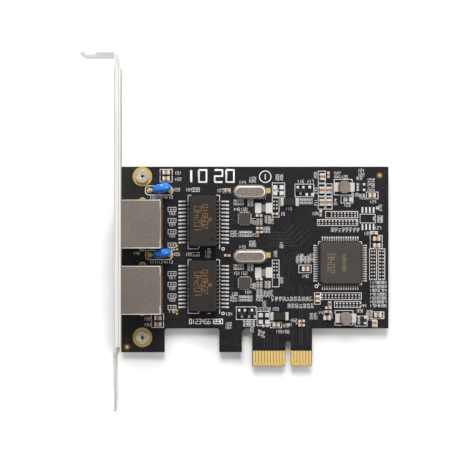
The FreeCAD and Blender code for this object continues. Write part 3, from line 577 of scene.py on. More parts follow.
def unit_shape(kind):
    """A small shape one unit across that stands on its origin."""
    mesh = bmesh.new()
    middle = Matrix.Translation((0, 0, 0.5))
    if kind in ("block", "plate"):
        bmesh.ops.create_cube(mesh, size=1, matrix=middle)
    if kind == "block":
        edges = [edge for edge in mesh.edges if max(vertex.co.z for vertex in edge.verts) > 0.5]
        bmesh.ops.bevel(mesh, geom=edges, offset=0.08, segments=1, affect="EDGES", profile=0.5)
    if kind == "disc":
        bmesh.ops.create_cone(
            mesh, cap_ends=True, segments=24, radius1=0.5, radius2=0.5, depth=1, matrix=middle
        )
    if kind == "dome":
        bmesh.ops.create_uvsphere(mesh, u_segments=16, v_segments=8, radius=0.5)
        below = [vertex for vertex in mesh.verts if vertex.co.z < -0.001]
        bmesh.ops.delete(mesh, geom=below, context="VERTS")
        bmesh.ops.holes_fill(mesh, edges=[edge for edge in mesh.edges if edge.is_boundary])
        bmesh.ops.scale(mesh, vec=(1, 1, 2), verts=mesh.verts)
        bmesh.ops.recalc_face_normals(mesh, faces=mesh.faces)
    return piece_from(f"unit_{kind}", mesh)


def scattered(name, shape, places, material, slot, nodes=(), sharp=35):
    """Copies of a unit shape, each at (middle of its foot, widths) or (the same, turn about X, Y, Z)."""
    data = bpy.data.meshes.new(name)
    data.from_pydata([place[0] for place in places], [], [])
    widths = data.attributes.new("widths", "FLOAT_VECTOR", "POINT")
    turn = data.attributes.new("turn", "FLOAT_VECTOR", "POINT")
    for index, place in enumerate(places):
        widths.data[index].vector = place[1]
        turn.data[index].vector = place[2] if len(place) > 2 else (0, 0, 0)
    source = unit_shape(shape)
    piece = grown(name, data, scatter_tree(), {"Shape": source})
    bpy.data.objects.remove(source)
    smooth(piece, sharp)
    ready(piece, material, *nodes, slot=slot)


def stripes(name, runs, width, height, material, slot, nodes=()):
    """Flat strips along runs of points; a run marked closed joins its ends."""
    points = []
    edges = []
    for run, closed in runs:
        first = len(points)
        points += run
        edges += [(first + index, first + index + 1) for index in range(len(run) - 1)]
        if closed:
            edges.append((len(points) - 1, first))
    data = bpy.data.meshes.new(name)
    data.from_pydata(points, edges, [])
    piece = grown(name, data, strip_tree(), {"Width": width, "Height": height})
    ready(piece, material, *nodes, slot=slot)


def printed(name, runs, width):
    stripes(name, runs, width, 2 * sizes().print_height, "print_ink", "small_chip_ceramic")


def ring(centre, radius, count):
    turns = [2 * math.pi * index / count for index in range(count)]
    return [centre + radius * Vector((math.cos(turn), math.sin(turn), 0)) for turn in turns]


def turned(name, rings, material, slot, nodes=(), sharp=35):
    """A piece from rings, each a middle, the radius and height of its section's points, and its steps."""
    mesh = bmesh.new()
    for middle, section, count in rings:
        rows = []
        for radius, height in section:
            centre = Vector((middle.x, middle.y, height))
            rows.append([mesh.verts.new(point) for point in ring(centre, radius, count)])
        for first, second in zip(rows, rows[1:] + rows[:1]):
            for index in range(count):
                following = (index + 1) % count
                mesh.faces.new((first[index], first[following], second[following], second[index]))
    bmesh.ops.recalc_face_normals(mesh, faces=mesh.faces)
    piece = piece_from(name, mesh)
    smooth(piece, sharp)
    ready(piece, material, *nodes, slot=slot)


def flat_ring(inner, outer, foot, top):
    return (inner, foot), (inner, top), (outer, top), (outer, foot)


def at(across, down, lift=0.0):
    """A point on the component side, in millimetres from the board's upper left corner."""
    return Vector((BOARD_LOW.x + across * MM, BOARD_HIGH.y - down * MM, FACE + lift * MM))


def on_grid(point):
    """A point's place in the millimetres that at() takes."""
    return (point.x - BOARD_LOW.x) / MM, (BOARD_HIGH.y - point.y) / MM


def on_board(point):
    return Vector((point.x, point.y, FACE))


def line(*places):
    """An open run of points on the component side."""
    return [at(*place) for place in places], False


def circle(across, down, radius, count=16):
    return ring(at(across, down), radius * MM, count), True


def land(across, down, width, length=None, height=None):
    """A flat piece of copper on the component side, square unless it has a length."""
    return at(across, down), (width * MM, (length or width) * MM, height or sizes().copper_height)


def middle_and_half(node):
    low, high = (Vector(corner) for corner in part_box(node))
    return (low + high) / 2, (high - low) / 2


def leads_of(node, body):
    """Each lead's centre, its axis, the side of the body it leaves, and where it starts and ends there."""
    middle, half = middle_and_half(body)
    leads = []
    for low, high in solids_of(node):
        centre = (low + high) / 2
        away = centre - middle
        axis = 0 if abs(away.x) / half.x > abs(away.y) / half.y else 1
        side = 1 if away[axis] > 0 else -1
        tip = high[axis] if side > 0 else low[axis]
        leads.append((centre, axis, side, middle[axis] + side * half[axis], tip))
    return leads


def bent_leads(name, node, body, width, thick, exit_height, slope):
    """Leads that leave a body's sides, slope down and end in the feet of the node's leads."""
    solder = 0.04 * MM
    inside = 0.25 * MM
    heel = 0.85 * slope
    heel_rise = 0.06 * MM
    floor = FACE + thick / 2 + solder
    runs = []
    for centre, axis, side, wall, tip in leads_of(node, body):
        steps = (
            (wall - side * inside, FACE + exit_height),
            (wall + side * heel, floor + heel_rise),
            (wall + side * slope, floor),
            (tip - side * thick / 2, floor),
        )
        run = []
        for place, height in steps:
            point = Vector((centre.x, centre.y, height))
            point[axis] = place
            run.append(point)
        runs.append((run, False))
    stripes(name, runs, width, thick, "lead", "tinned_lead", (node,))


def lead_pads(node, body, length, width, inset):
    """A pad under each foot of a body's leads, with its middle that far inside the lead's tip."""
    pads = []
    for centre, axis, side, _, tip in leads_of(node, body):
        foot = on_board(centre)
        foot[axis] = tip - side * inset
        widths = [width, width, sizes().copper_height]
        widths[axis] = length
        pads.append((foot, widths))
    return pads


def pads_under(node, margin_x, margin_y):
    """A pad under each solid of a node, larger than the solid by the margins."""
    pads = []
    for low, high in solids_of(node):
        widths = (high.x - low.x + margin_x, high.y - low.y + margin_y, sizes().copper_height)
        pads.append((on_board((low + high) / 2), widths))
    return pads


DIGITS = {
    "0": (((0, 0), (1, 0), (1, 2), (0, 2), (0, 0)),),
    "1": (((0.5, 0), (0.5, 2)),),
    "2": (((0, 0), (1, 0), (1, 1), (0, 1), (0, 2), (1, 2)),),
    "3": (((0, 0), (1, 0), (1, 2), (0, 2)), ((0, 1), (1, 1))),
    "4": (((0, 0), (0, 1), (1, 1)), ((1, 0), (1, 2))),
    "5": (((1, 0), (0, 0), (0, 1), (1, 1), (1, 2), (0, 2)),),
    "6": (((1, 0), (0, 0), (0, 2), (1, 2), (1, 1), (0, 1)),),
    "7": (((0, 0), (1, 0), (1, 2)),),
    "8": (((0, 0), (1, 0), (1, 2), (0, 2), (0, 0)), ((0, 1), (1, 1))),
    "9": (((0, 2), (1, 2), (1, 0), (0, 0), (0, 1), (1, 1)),),
}

# How far down the chips between the jacks and the transformers stand, in millimetres
CHIP_COLUMN = (14.5, 18.3, 22.1, 26.6, 36.3, 40.0, 43.9, 47.8)
# Places on the component side, in the millimetres of at()
SQUARE_LANDS = (
    (52.3, 7.0), (54.5, 7.0), (52.3, 8.95), (54.5, 8.95), (47.4, 50.4), (49.6, 50.4), (47.4, 52.7),
    (49.6, 52.7), (76.1, 11.1), (78.0, 11.1),
)
PRINTED_FRAMES = (
    (13.2, 0.9, 17.3, 3.0), (13.2, 3.0, 17.3, 5.2), (10.3, 50.0, 14.4, 52.4), (10.3, 52.4, 14.4, 54.6),
    (59.0, 5.9, 65.4, 10.2), (51.3, 5.5, 55.5, 10.3), (51.3, 10.6, 53.6, 17.1), (51.3, 31.7, 53.6, 40.8),
    (66.9, 1.5, 69.3, 5.5), (66.9, 5.8, 69.2, 9.95), (69.5, 5.8, 71.6, 9.95), (66.9, 10.25, 69.2, 14.4),
    (69.5, 10.25, 71.6, 14.4), (74.6, 9.95, 78.7, 12.3), (83.3, 8.6, 87.2, 10.9), (69.4, 15.2, 80.3, 17.35),
    (66.6, 17.9, 80.3, 20.0), (67.8, 42.8, 81.5, 45.1), (72.4, 45.8, 81.4, 47.8), (65.6, 42.8, 67.6, 46.7),
    (84.3, 27.9, 86.7, 38.4), (87.3, 27.9, 89.5, 38.4), (24.0, 7.25, 26.5, 8.45),
    (24.0, 29.15, 26.5, 30.35), (34.6, 7.5, 37.1, 8.9), (81.1, 16.1, 86.25, 19.1),
    (84.55, 22.0, 87.0, 23.3), (84.55, 23.3, 88.6, 25.8), (84.55, 25.8, 88.6, 27.8),
    (85.2, 49.3, 89.2, 51.6), (85.3, 52.3, 86.9, 54.4), (60.3, 33.4, 64.5, 36.0), (39.05, 47.6, 42.4, 51.9),
    (42.4, 47.6, 45.8, 51.9), (46.1, 49.1, 50.3, 54.0), (50.7, 52.8, 54.5, 54.7), (79.4, 50.7, 83.5, 54.1),
)
LEVEL_NUMBERS = (
    (19.3, 2.1), (19.3, 4.25), (18.8, 7.8), (23.0, 7.85), (18.8, 29.7), (23.0, 29.75), (33.6, 8.1),
    (10.8, 10.4), (13.0, 10.4), (16.4, 10.4), (10.8, 32.4), (13.0, 32.4), (16.4, 32.4), (41.1, 5.3),
    (41.1, 27.2), (60.9, 5.0), (64.2, 5.0), (56.9, 14.2), (54.4, 16.0), (75.8, 3.5), (81.5, 1.3),
    (81.5, 2.7), (76.7, 13.0), (85.4, 11.9), (81.9, 10.5), (79.7, 9.5), (87.1, 20.8), (65.9, 15.9),
    (83.5, 22.7), (29.4, 29.0), (29.4, 30.4), (8.9, 51.6), (8.9, 53.6), (36.5, 50.0), (38.5, 43.2),
    (60.9, 30.2), (64.2, 30.2), (60.9, 31.6), (64.2, 31.6), (62.5, 37.2), (56.9, 53.6), (60.2, 53.2),
    (68.0, 49.6), (82.0, 47.2), (84.0, 50.0), (52.4, 8.0), (47.9, 10.6), (5.2, 29.4), (39.2, 14.5),
    (41.7, 14.5), (39.2, 36.2), (41.7, 36.2), (45.6, 23.2), (43.0, 42.6), (53.6, 56.0), (56.0, 56.0),
    (47.2, 48.3), (49.6, 48.3), (52.4, 48.3), (36.4, 53.4), (36.4, 54.6), (58.5, 52.2),
)
UPRIGHT_NUMBERS = (
    (44.0, 4.4), (45.2, 4.4), (44.0, 26.2), (45.2, 26.2), (53.0, 3.6), (54.4, 3.6), (45.1, 18.6),
    (45.1, 40.5), (66.0, 2.9), (66.1, 8.1), (66.1, 12.2), (72.8, 2.8), (73.9, 2.8), (72.8, 12.0),
    (84.2, 5.0), (85.5, 5.0), (84.2, 7.2), (85.5, 7.2), (88.0, 14.0), (88.0, 18.0), (54.4, 26.6),
    (54.4, 38.6), (64.6, 50.8), (66.0, 50.8), (48.6, 46.6), (44.4, 55.2), (88.4, 50.4), (71.2, 50.6),
    (49.9, 18.4), (51.1, 18.4), (48.8, 21.4), (49.9, 21.4), (37.6, 22.8), (38.8, 22.8), (52.4, 29.6),
    (37.6, 44.8), (38.8, 44.8), (46.4, 44.6), (47.5, 44.6), (49.9, 40.2), (51.0, 42.8), (47.0, 56.4),
    (48.2, 57.0), (48.8, 43.2), (49.9, 43.2),
)


def number(digits, across, down, height, upright=False, lift=0.0, spacing=0.78):
    """Strokes of a plain number whose middle lies at a place on the board, in millimetres."""
    stroke_share = 0.67
    half = height / 2
    pitch = height * spacing
    width = pitch * stroke_share
    first = -(pitch * (len(digits) - 1) + width) / 2
    runs = []
    for index, digit in enumerate(digits):
        for stroke in DIGITS[digit]:
            points = []
            for column, row in stroke:
                along = first + index * pitch + column * width
                below = (row - 1) * half
                if upright:
                    along, below = below, -along
                points.append(at(across + along, down + below, lift))
            runs.append((points, False))
    return runs


# Pieces


class CARD_OT_bracket(bpy.types.Operator):
    """Finish the folded bracket and its two screws"""

    bl_idname = "card.bracket"
    bl_label = "Bracket and screws"

    def execute(self, context):
        bracket = dressed("bracket_sheet", "bracket", "nickel", "plated_steel", sizes().sheet_edge)
        self.lengthen_flange(bracket.data)
        dressed("crossed_screws", "bracket_screws", "zinc", "screw_steel", 0.14 * MM)
        return {"FINISHED"}

    def lengthen_flange(self, mesh):
        """Carry the free edge of the shallow upper flange on over the jacks."""
        sheet = 0.9 * MM
        rounding = 0.4 * MM
        flange = [vertex for vertex in mesh.vertices if vertex.co.z > CAD_BOX[1][2] - sheet]
        edge = max(vertex.co.x for vertex in flange)
        for vertex in flange:
            if vertex.co.x > edge - rounding:
                vertex.co.x += sizes().flange_lip


class CARD_OT_board(bpy.types.Operator):
    """Finish the board, its edge contacts and its bare copper"""

    bl_idname = "card.board"
    bl_label = "Board and bare copper"

    def execute(self, context):
        paint("circuit_board", "mask")
        paint("edge_contacts", "contact_gold")
        self.contact_ends()
        self.rings()
        self.gold_lands()
        self.tin_lands()
        return {"FINISHED"}

    def contact_ends(self):
        """Gold under the edge contacts that runs on over the bevel."""
        bevel = 1.3 * MM
        depth = 0.45 * MM
        lift = 0.02 * MM
        last = 0.15 * MM
        sunk = depth * (1 - last / bevel)
        lands = []
        ends = []
        for low, high in solids_of("edge_contacts"):
            outward = 1 if high.z > FACE else -1
            level = FACE if outward > 0 else BACK
            across = (low.x + high.x) / 2
            brow = Vector((across, BOARD_LOW.y + bevel, level + outward * lift))
            rim = Vector((across, BOARD_LOW.y + last, level + outward * (lift - sunk)))
            lands.append(([Vector((across, high.y, level + outward * lift)), brow], False))
            ends.append(([brow, rim], False))
        stripes("contact_lands", lands, 0.84 * MM, 2 * lift, "contact_gold", "gold_plate")
        stripes("contact_ends", ends, 1.0 * MM, 2 * lift, "contact_gold", "gold_plate")

    def rings(self):
        """Gold rings round the screws and round the wires of the disc capacitors."""
        lift = sizes().copper_height
        rings = []
        for low, high in solids_of("bracket_screws"):
            inner = 0.8 * (high.x - low.x) / 2
            rings.append(((low + high) / 2, flat_ring(inner, sizes().screw_ring, FACE, FACE + lift), 64))
        for port in PORTS:
            for pin in pins_of(f"{port}_disc_capacitor_leads"):
                for foot, top in ((FACE, FACE + lift), (BACK - lift, BACK)):
                    rings.append((pin, flat_ring(0.36 * MM, 0.95 * MM, foot, top), RING_STEPS))
        turned("gold_rings", rings, "gold", "gold_plate")

    def gold_lands(self):
        marks = ((87.75, 2.92), (2.0, 61.2))
        bare = [land(*place, 2.3, height=sizes().copper_height / 2) for place in marks]
        discs = [land(*place, 1.1) for place in marks]
        discs += [land(18.97, down, 0.75) for down in (26.9, 28.05, 48.8, 49.9)]
        discs += [land(15.0, 10.4, 0.9), land(14.9, 32.4, 0.9)]
        squares = [land(50.0, 8.1 + drop, 1.4, 1.77) for drop in PORT_DROPS]
        scattered("bare_laminate", "disc", bare, "laminate", "board_laminate")
        scattered("round_gold_lands", "disc", discs, "gold", "gold_plate")
        scattered("square_gold_lands", "plate", squares, "gold", "gold_plate")

    def tin_lands(self):
        lands = [land(*place, 1.4) for place in SQUARE_LANDS]
        lands += [land(*place, 0.9) for place in ((64.0, 6.9), (63.0, 9.4), (64.9, 9.4))]
        lands += [land(81.9 + 1.27 * index, down, 0.6, 2.0) for index in range(4) for down in (14.7, 20.5)]
        middles = []
        for drop in PORT_DROPS:
            lands.append(land(46.5, 14.06 + drop, 2.1, 3.5))
            lands.append(land(50.2, 14.06 + drop, 2.27, 3.5))
            middles.append(land(48.3, 14.06 + drop, 1.5, 2.4, 2 * sizes().copper_height))
        scattered("bare_land_middles", "block", middles, "ferrite", "ferrite")
        scattered("bare_tinned_lands", "block", lands, "tin", "tinned_lead")


class CARD_OT_print(bpy.types.Operator):
    """Print the white component outlines"""

    bl_idname = "card.white_print"
    bl_label = "White print"

    def execute(self, context):
        boxes = PRINTED_FRAMES + tuple((15.9, down - 0.7, 18.6, down + 0.7) for down in CHIP_COLUMN)
        runs = [self.frame_of(*box) for box in boxes]
        runs += self.ovals() + self.transformer_lines() + self.inductor_lines() + self.controller_lines()
        runs.append(line((86.25, 17.0), (85.6, 17.2), (85.6, 18.0), (86.25, 18.2)))
        printed("white_print", runs, sizes().print_line)
        small = [self.frame_of(*box) for box in self.chip_boxes(boxes)]
        printed("small_frames", small, sizes().number_line)
        self.numbers()
        self.markings()
        return {"FINISHED"}

    def frame_of(self, left, top, right, bottom):
        corners = ((left, top), (right, top), (right, bottom), (left, bottom))
        return [at(*corner) for corner in corners], True

    def chip_boxes(self, boxes):
        """A printed frame round each small chip that stands in none of the frames so far."""
        added = []
        for low, high in solids_of("small_chips"):
            left, bottom = on_grid(low)
            right, top = on_grid(high)
            across = (left + right) / 2
            down = (top + bottom) / 2
            if any(box[0] < across < box[2] and box[1] < down < box[3] for box in boxes):
                continue
            ends, sides = (0.4, 0.26) if right - left >= bottom - top else (0.26, 0.4)
            added.append((left - ends, top - sides, right + ends, bottom + sides))
        return added

    def numbers(self):
        """Small plain numbers beside the parts, counted up, and a few larger ones."""
        across_of_columns = (85.1, 86.6, 88.0, 89.3)
        columns = [(across, 39.3 + 1.32 * index) for across in across_of_columns for index in range(7)]
        rows = [(71.7 + 1.24 * index, 21.45) for index in range(8)]
        rows += [(51.4 + 1.3 * index, 44.9) for index in range(11)]
        rows += [(57.0 + 1.3 * index, 47.25) for index in range(7)]
        level = LEVEL_NUMBERS + tuple((17.2, down + 1.35) for down in CHIP_COLUMN)
        groups = (
            (columns, 11, 0.8, False, 1.0),
            (rows, 11 + len(columns), 0.8, True, 1.0),
            (level, 101, 1.0, False, 0.78),
            (UPRIGHT_NUMBERS, 201, 0.95, True, 0.78),
        )
        runs = []
        for places, first, height, sideways, spacing in groups:
            for count, (across, down) in enumerate(places):
                runs += number(str(first + count), across, down, height, sideways, spacing=spacing)
        line_width = sizes().number_line
        printed("small_numbers", runs, line_width)
        large = number("10", 25.7, 3.2, 4.1, spacing=0.95) + number("20", 35.0, 3.2, 4.1, spacing=0.95)
        printed("large_numbers", large, 5.6 * line_width)
        middling = number("01234567890", 28.8, 52.55, 1.6, spacing=0.66)
        middling += number("1", 48.9, 3.4, 1.9) + [circle(48.9, 3.4, 1.95, 32)]
        printed("board_number", middling, 2.2 * line_width)

    def markings(self):
        """Plain numbers in dull ink on the transformers and the controller."""
        line_width = sizes().number_line
        middle, half = middle_and_half("upper_transformer")
        top = (middle.z + half.z - FACE) / MM
        runs = []
        for drop in PORT_DROPS:
            runs += number("10240", 26.2, 17.9 + drop, 2.3, upright=True, lift=top)
            runs += number("204810", 28.6, 17.1 + drop, 1.8, upright=True, lift=top)
            runs += number("36", 30.2, 18.1 + drop, 0.9, upright=True, lift=top)
        stripes("transformer_numbers", runs, 2 * line_width, 0.02 * MM, "marking", "transformer_moulding")
        middle, half = middle_and_half("controller_chip")
        across, down = on_grid(middle)
        top = (middle.z + half.z - FACE) / MM
        runs = number("2048", across - 3.2, down, 2.2, upright=True, lift=top)
        runs += number("1001024", across + 1.2, down, 1.1, upright=True, lift=top)
        stripes("controller_numbers", runs, 1.6 * line_width, 0.02 * MM, "faint_marking", "chip_moulding")

    def ovals(self):
        """Outlines with round corners under the discs."""
        left, top, right, bottom, radius = 8.2, 6.5, 17.4, 9.6, 1.2
        corners = (
            (right - radius, top + radius, 0), (left + radius, top + radius, 90),
            (left + radius, bottom - radius, 180), (right - radius, bottom - radius, 270),
        )
        runs = []
        for drop in PORT_DROPS:
            points = []
            for across, down, start in corners:
                for step in range(7):
                    turn = math.radians(start + step * 15)
                    rise = radius * math.sin(turn)
                    points.append(at(across + radius * math.cos(turn), down + drop - rise))
            runs.append((points, True))
        return runs

    def transformer_lines(self):
        left, right = 22.7, 33.4
        runs = []
        for drop in PORT_DROPS:
            top = 9.7 + drop
            bottom = 27.9 + drop
            stub = ((left + 3.4, bottom), (left + 3.9, bottom - 0.8))
            runs.append(line((left + 1.1, top), (left, top), (left, bottom), *stub))
            runs.append(line((right - 1.2, top), (right, top), (right, bottom)))
            runs.append(line((left + 6.6, bottom), (left + 7.6, bottom)))
            runs.append(circle(34.6, bottom, 0.45))
        return runs

    def inductor_lines(self):
        runs = []
        for left, right, top, bottom in ((72.3, 78.4, 4.3, 9.6), (72.6, 78.7, 48.8, 53.8)):
            for down, tick in ((top, 1.0), (bottom, -1.0)):
                runs.append(line((left, down + tick), (left, down), (right, down), (right, down + tick)))
        return runs

    def controller_lines(self):
        """Corner ticks round the controller, and rings at the first leads of two chips."""
        middle, half = middle_and_half("controller_chip")
        across, down = on_grid(middle)
        reach = half.x / MM + 0.3
        tick = 0.8
        runs = [circle(66.3, 40.6, 0.5), circle(87.0, 14.0, 0.4)]
        for side_x in (-1, 1):
            for side_y in (-1, 1):
                x = across + side_x * reach
                y = down + side_y * reach
                runs.append(line((x - side_x * tick, y), (x, y), (x, y - side_y * tick)))
        return runs


class CARD_OT_tracks(bpy.types.Operator):
    """Lay the copper tracks that show faintly through the mask"""

    bl_idname = "card.tracks"
    bl_label = "Masked tracks"

    def execute(self, context):
        stems = (58.2, 60.5, 61.1, 61.5, 63.1, 64.0)
        runs = [line((across, 40.0 + index * 0.3), (across, 60.5)) for index, across in enumerate(stems)]
        for index in range(4):
            across = 54.3 + 0.85 * index
            runs.append(line((across + 3.4, 29.0), (across, 32.4), (across, 40.6), (across + 1.6, 42.4)))
        for index in range(5):
            step = 1.1 * index
            runs.append(line((50.0, 22.4 + step), (56.0 + step, 22.4 + step), (60.5 + step, 17.9 + step)))
            for down in (14.0, 36.0):
                runs.append(line((34.8, down + step * 1.2), (38.2, down + step * 1.2)))
            runs.append(line((48.6 + step, 56.9), (48.6 + step, 62.2)))
        stripes("masked_tracks", runs, sizes().track, 0.03 * MM, "masked_copper", "board_laminate")
        return {"FINISHED"}


class CARD_OT_jacks(bpy.types.Operator):
    """Finish the shielded jacks, their contacts and lamp windows"""

    bl_idname = "card.jacks"
    bl_label = "Network jacks"

    def execute(self, context):
        for port in PORTS:
            name = f"{port}_shield_can"
            dressed(name, f"{port}_jack_shield", "shield_tin", "tinned_shield", sizes().shield_edge)
            paint(f"{port}_jack_housing", "jack_plastic")
            paint(f"{port}_jack_contacts", "gold")
        paint("link_lamp_windows", "green_lamp")
        paint("activity_lamp_windows", "amber_lamp")
        self.fold_lines()
        rings = []
        section = flat_ring(0.8 * MM, 1.2 * MM, FACE, FACE + sizes().copper_height)
        for port in PORTS:
            rings += [(pin, section, RING_STEPS) for pin in pins_of(f"{port}_jack_shield", 2 * MM)]
        turned("shield_tab_rings", rings, "gold", "gold_plate")
        return {"FINISHED"}

    def fold_lines(self):
        """Bright painted highlight lines along the folds of the shields' upper faces."""
        inset = 0.2 * MM
        strip = 2.9 * MM
        runs = []
        for port in PORTS:
            low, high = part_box(f"{port}_jack_shield")
            left = low[0] + inset
            right = high[0] - 0.3 * MM
            back = high[0] - 0.35 * MM
            above = high[1] - inset
            below = low[1] + inset
            outline = ((right, above), (left, above), (left, below), (right, below))
            corners = (((back, above), (back, above - strip)), ((back, below), (back, below + strip)))
            for run in (outline, *corners):
                runs.append(([Vector((x, y, high[2])) for x, y in run], False))
        stripes("shield_fold_lines", runs, 0.22 * MM, 0.02 * MM, "fold_highlight", "tinned_shield")


class CARD_OT_magnetics(bpy.types.Operator):
    """Finish the transformers and the power inductors"""

    bl_idname = "card.magnetics"
    bl_label = "Transformers and inductors"

    def execute(self, context):
        pads = []
        marks = []
        for port in PORTS:
            node = f"{port}_transformer"
            leads = f"{port}_transformer_leads"
            edge = sizes().moulded_edge
            dressed(f"{port}_transformer_body", node, "package", "transformer_moulding", edge, 3)
            bent_leads(
                f"{port}_bent_leads", leads, node, width=0.44 * MM, thick=0.22 * MM, exit_height=1.3 * MM,
                slope=sizes().lead_slope,
            )
            pads += lead_pads(leads, node, length=2.45 * MM, width=0.62 * MM, inset=0.35 * MM)
            low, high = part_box(node)
            spot = Vector((high[0] - 1.7 * MM, low[1] + 2.3 * MM, high[2]))
            marks.append((spot, (1.2 * MM, 1.2 * MM, 0.01 * MM)))
        scattered("transformer_pads", "plate", pads, "tin", "tinned_lead")
        scattered("transformer_marks", "disc", marks, "jack_plastic", "transformer_moulding")
        self.inductors()
        return {"FINISHED"}

    def inductors(self):
        """Ferrite cores with turns of round copper wire."""
        dressed("inductor_drums", "inductor_cores", "ferrite", "ferrite", 0.1 * MM)
        paint("inductor_terminals", "tin")
        turns = 5
        tilts = [math.radians(45 * corner) for corner in range(8)]
        coils = []
        for low, high in solids_of("inductor_windings"):
            wire = (high.z - low.z) / turns / 2
            radius = (high.x - low.x) / 2 - wire
            for turn in range(turns):
                level = low.z + wire * (2 * turn + 1)
                section = [(radius + wire * math.cos(tilt), level + wire * math.sin(tilt)) for tilt in tilts]
                coils.append(((low + high) / 2, section, RING_STEPS))
        turned("inductor_coils", coils, "copper_wire", "copper_wire", ("inductor_windings",), 60)


class CARD_OT_packages(bpy.types.Operator):
    """Finish the moulded packages with their leads and pads"""

    bl_idname = "card.packages"
    bl_label = "Moulded packages"

    def execute(self, context):
        edge = 0.5 * sizes().moulded_edge
        sharper = 0.6 * edge
        dressed("controller_body", "controller_chip", "controller", "chip_moulding", sharper)
        bent_leads(
            "controller_bent_leads", "controller_leads", "controller_chip", width=0.36 * MM,
            thick=0.17 * MM, exit_height=0.9 * MM, slope=0.35 * sizes().lead_slope,
        )
        for port in PORTS:
            name = f"{port}_port_chip_body"
            dressed(name, f"{port}_port_chip", "controller", "chip_moulding", sharper)
        for group in ("diode_bodies", "transistor_bodies", "regulator_bodies"):
            dressed(f"{group}_moulded", group, "package", "chip_moulding", edge)
        pads = lead_pads(
            "controller_leads", "controller_chip", length=1.6 * MM, width=0.46 * MM, inset=0.3 * MM
        )
        for group in ("diode_terminals", "transistor_leads", "regulator_leads"):
            paint(group, "tin")
            pads += pads_under(group, 0.35 * MM, 0.35 * MM)
        scattered("package_pads", "plate", pads, "tin", "tinned_lead")
        self.port_chip_terminals()
        return {"FINISHED"}

    def port_chip_terminals(self):
        """Small tinned terminals round the edge of each flat port chip."""
        pitch = 0.5 * MM
        overhang = 0.12 * MM
        along_x = (0.5 * MM, 0.26 * MM, 0.06 * MM)
        along_y = (0.26 * MM, 0.5 * MM, 0.06 * MM)
        terminals = []
        for port in PORTS:
            middle, half = middle_and_half(f"{port}_port_chip")
            for index in range(7):
                along = (index - 3) * pitch
                for side in (-1, 1):
                    out = side * (half.x + overhang)
                    terminals.append((on_board(middle + Vector((out, along, 0))), along_x))
                    terminals.append((on_board(middle + Vector((along, out, 0))), along_y))
        scattered("port_chip_terminals", "plate", terminals, "tin", "tinned_lead")


class CARD_OT_crystals(bpy.types.Operator):
    """Finish the crystals in their drawn cans"""

    bl_idname = "card.crystals"
    bl_label = "Crystals"

    def execute(self, context):
        for port in PORTS:
            name = f"{port}_crystal_can"
            dressed(name, f"{port}_crystal", "can_steel", "can_steel", sizes().can_edge, 4, 20)
        return {"FINISHED"}


class CARD_OT_discs(bpy.types.Operator):
    """Shape the lacquered disc capacitors and their wires"""

    bl_idname = "card.discs"
    bl_label = "Disc capacitors"

    def execute(self, context):
        for port in PORTS:
            node = f"{port}_disc_capacitor"
            dressed(f"{port}_lacquered_disc", node, "lacquer", "blue_lacquer", 0.55 * MM, 5, 15)
            paint(f"{port}_disc_capacitor_leads", "tin")
        return {"FINISHED"}


class CARD_OT_chip_parts(bpy.types.Operator):
    """Give the chip capacitors and resistors their ends and pads"""

    bl_idname = "card.chip_parts"
    bl_label = "Chip parts"

    def execute(self, context):
        paint("large_chip_bodies", "chip_ceramic")
        paint("large_chip_ends", "tin")
        ends = []
        pads = pads_under("large_chip_ends", 0.45 * MM, 0.3 * MM)
        groups = (
            ("medium_chips", "chip_ceramic", "capacitor_ceramic"),
            ("small_chips", "small_ceramic", "small_chip_ceramic"),
        )
        # lengths and places as shares of a chip's length
        body_length, end_length, pad_length = (0.56, 0.23, 0.42)
        end_place, pad_place = (0.385, 0.48)
        body_height = 0.96
        for group, material, slot in groups:
            bodies = []
            for low, high in solids_of(group):
                widths = high - low
                foot = (low + high) / 2
                foot.z = low.z
                along = Vector((1, 0, 0)) if widths.x > widths.y else Vector((0, 1, 0))
                across = Vector((along.y, along.x, 0))
                reach = along * widths.dot(along)
                width = across * widths.dot(across)
                bodies.append((foot, body_length * reach + width + Vector((0, 0, body_height * widths.z))))
                end = end_length * reach + width + Vector((0, 0, widths.z))
                pad = pad_length * reach + width + Vector((0, 0, sizes().copper_height))
                for side in (-1, 1):
                    ends.append((foot + end_place * side * reach, end))
                    pads.append((foot + pad_place * side * reach, pad))
            scattered(f"{group}_bodies", "block", bodies, material, slot, (group,))
        scattered("chip_ends", "block", ends, "tin", "tinned_lead")
        scattered("chip_pads", "plate", pads, "tin", "tinned_lead")
        return {"FINISHED"}


class CARD_OT_solder(bpy.types.Operator):
    """Solder the leads that come through to the back"""

    bl_idname = "card.solder"
    bl_label = "Solder joints"

    def execute(self, context):
        upside_down = (math.pi, 0, 0)
        # each with its widest pin, and its joint's width and height, in millimetres
        kinds = (
            ("jack_contacts", 1.0, 1.3, 0.7),
            ("crystal", 1.0, 1.3, 0.7),
            ("disc_capacitor_leads", 1.0, 1.3, 0.7),
            ("jack_shield", 2.0, 2.6, 0.8),
        )
        joints = []
        for port in PORTS:
            for group, pin_width, width, height in kinds:
                for pin in pins_of(f"{port}_{group}", pin_width * MM):
                    foot = Vector((pin.x, pin.y, BACK))
                    joints.append((foot, (width * MM, width * MM, height * MM), upside_down))
        scattered("back_joints", "dome", joints, "tin", "tinned_lead", sharp=80)
        return {"FINISHED"}


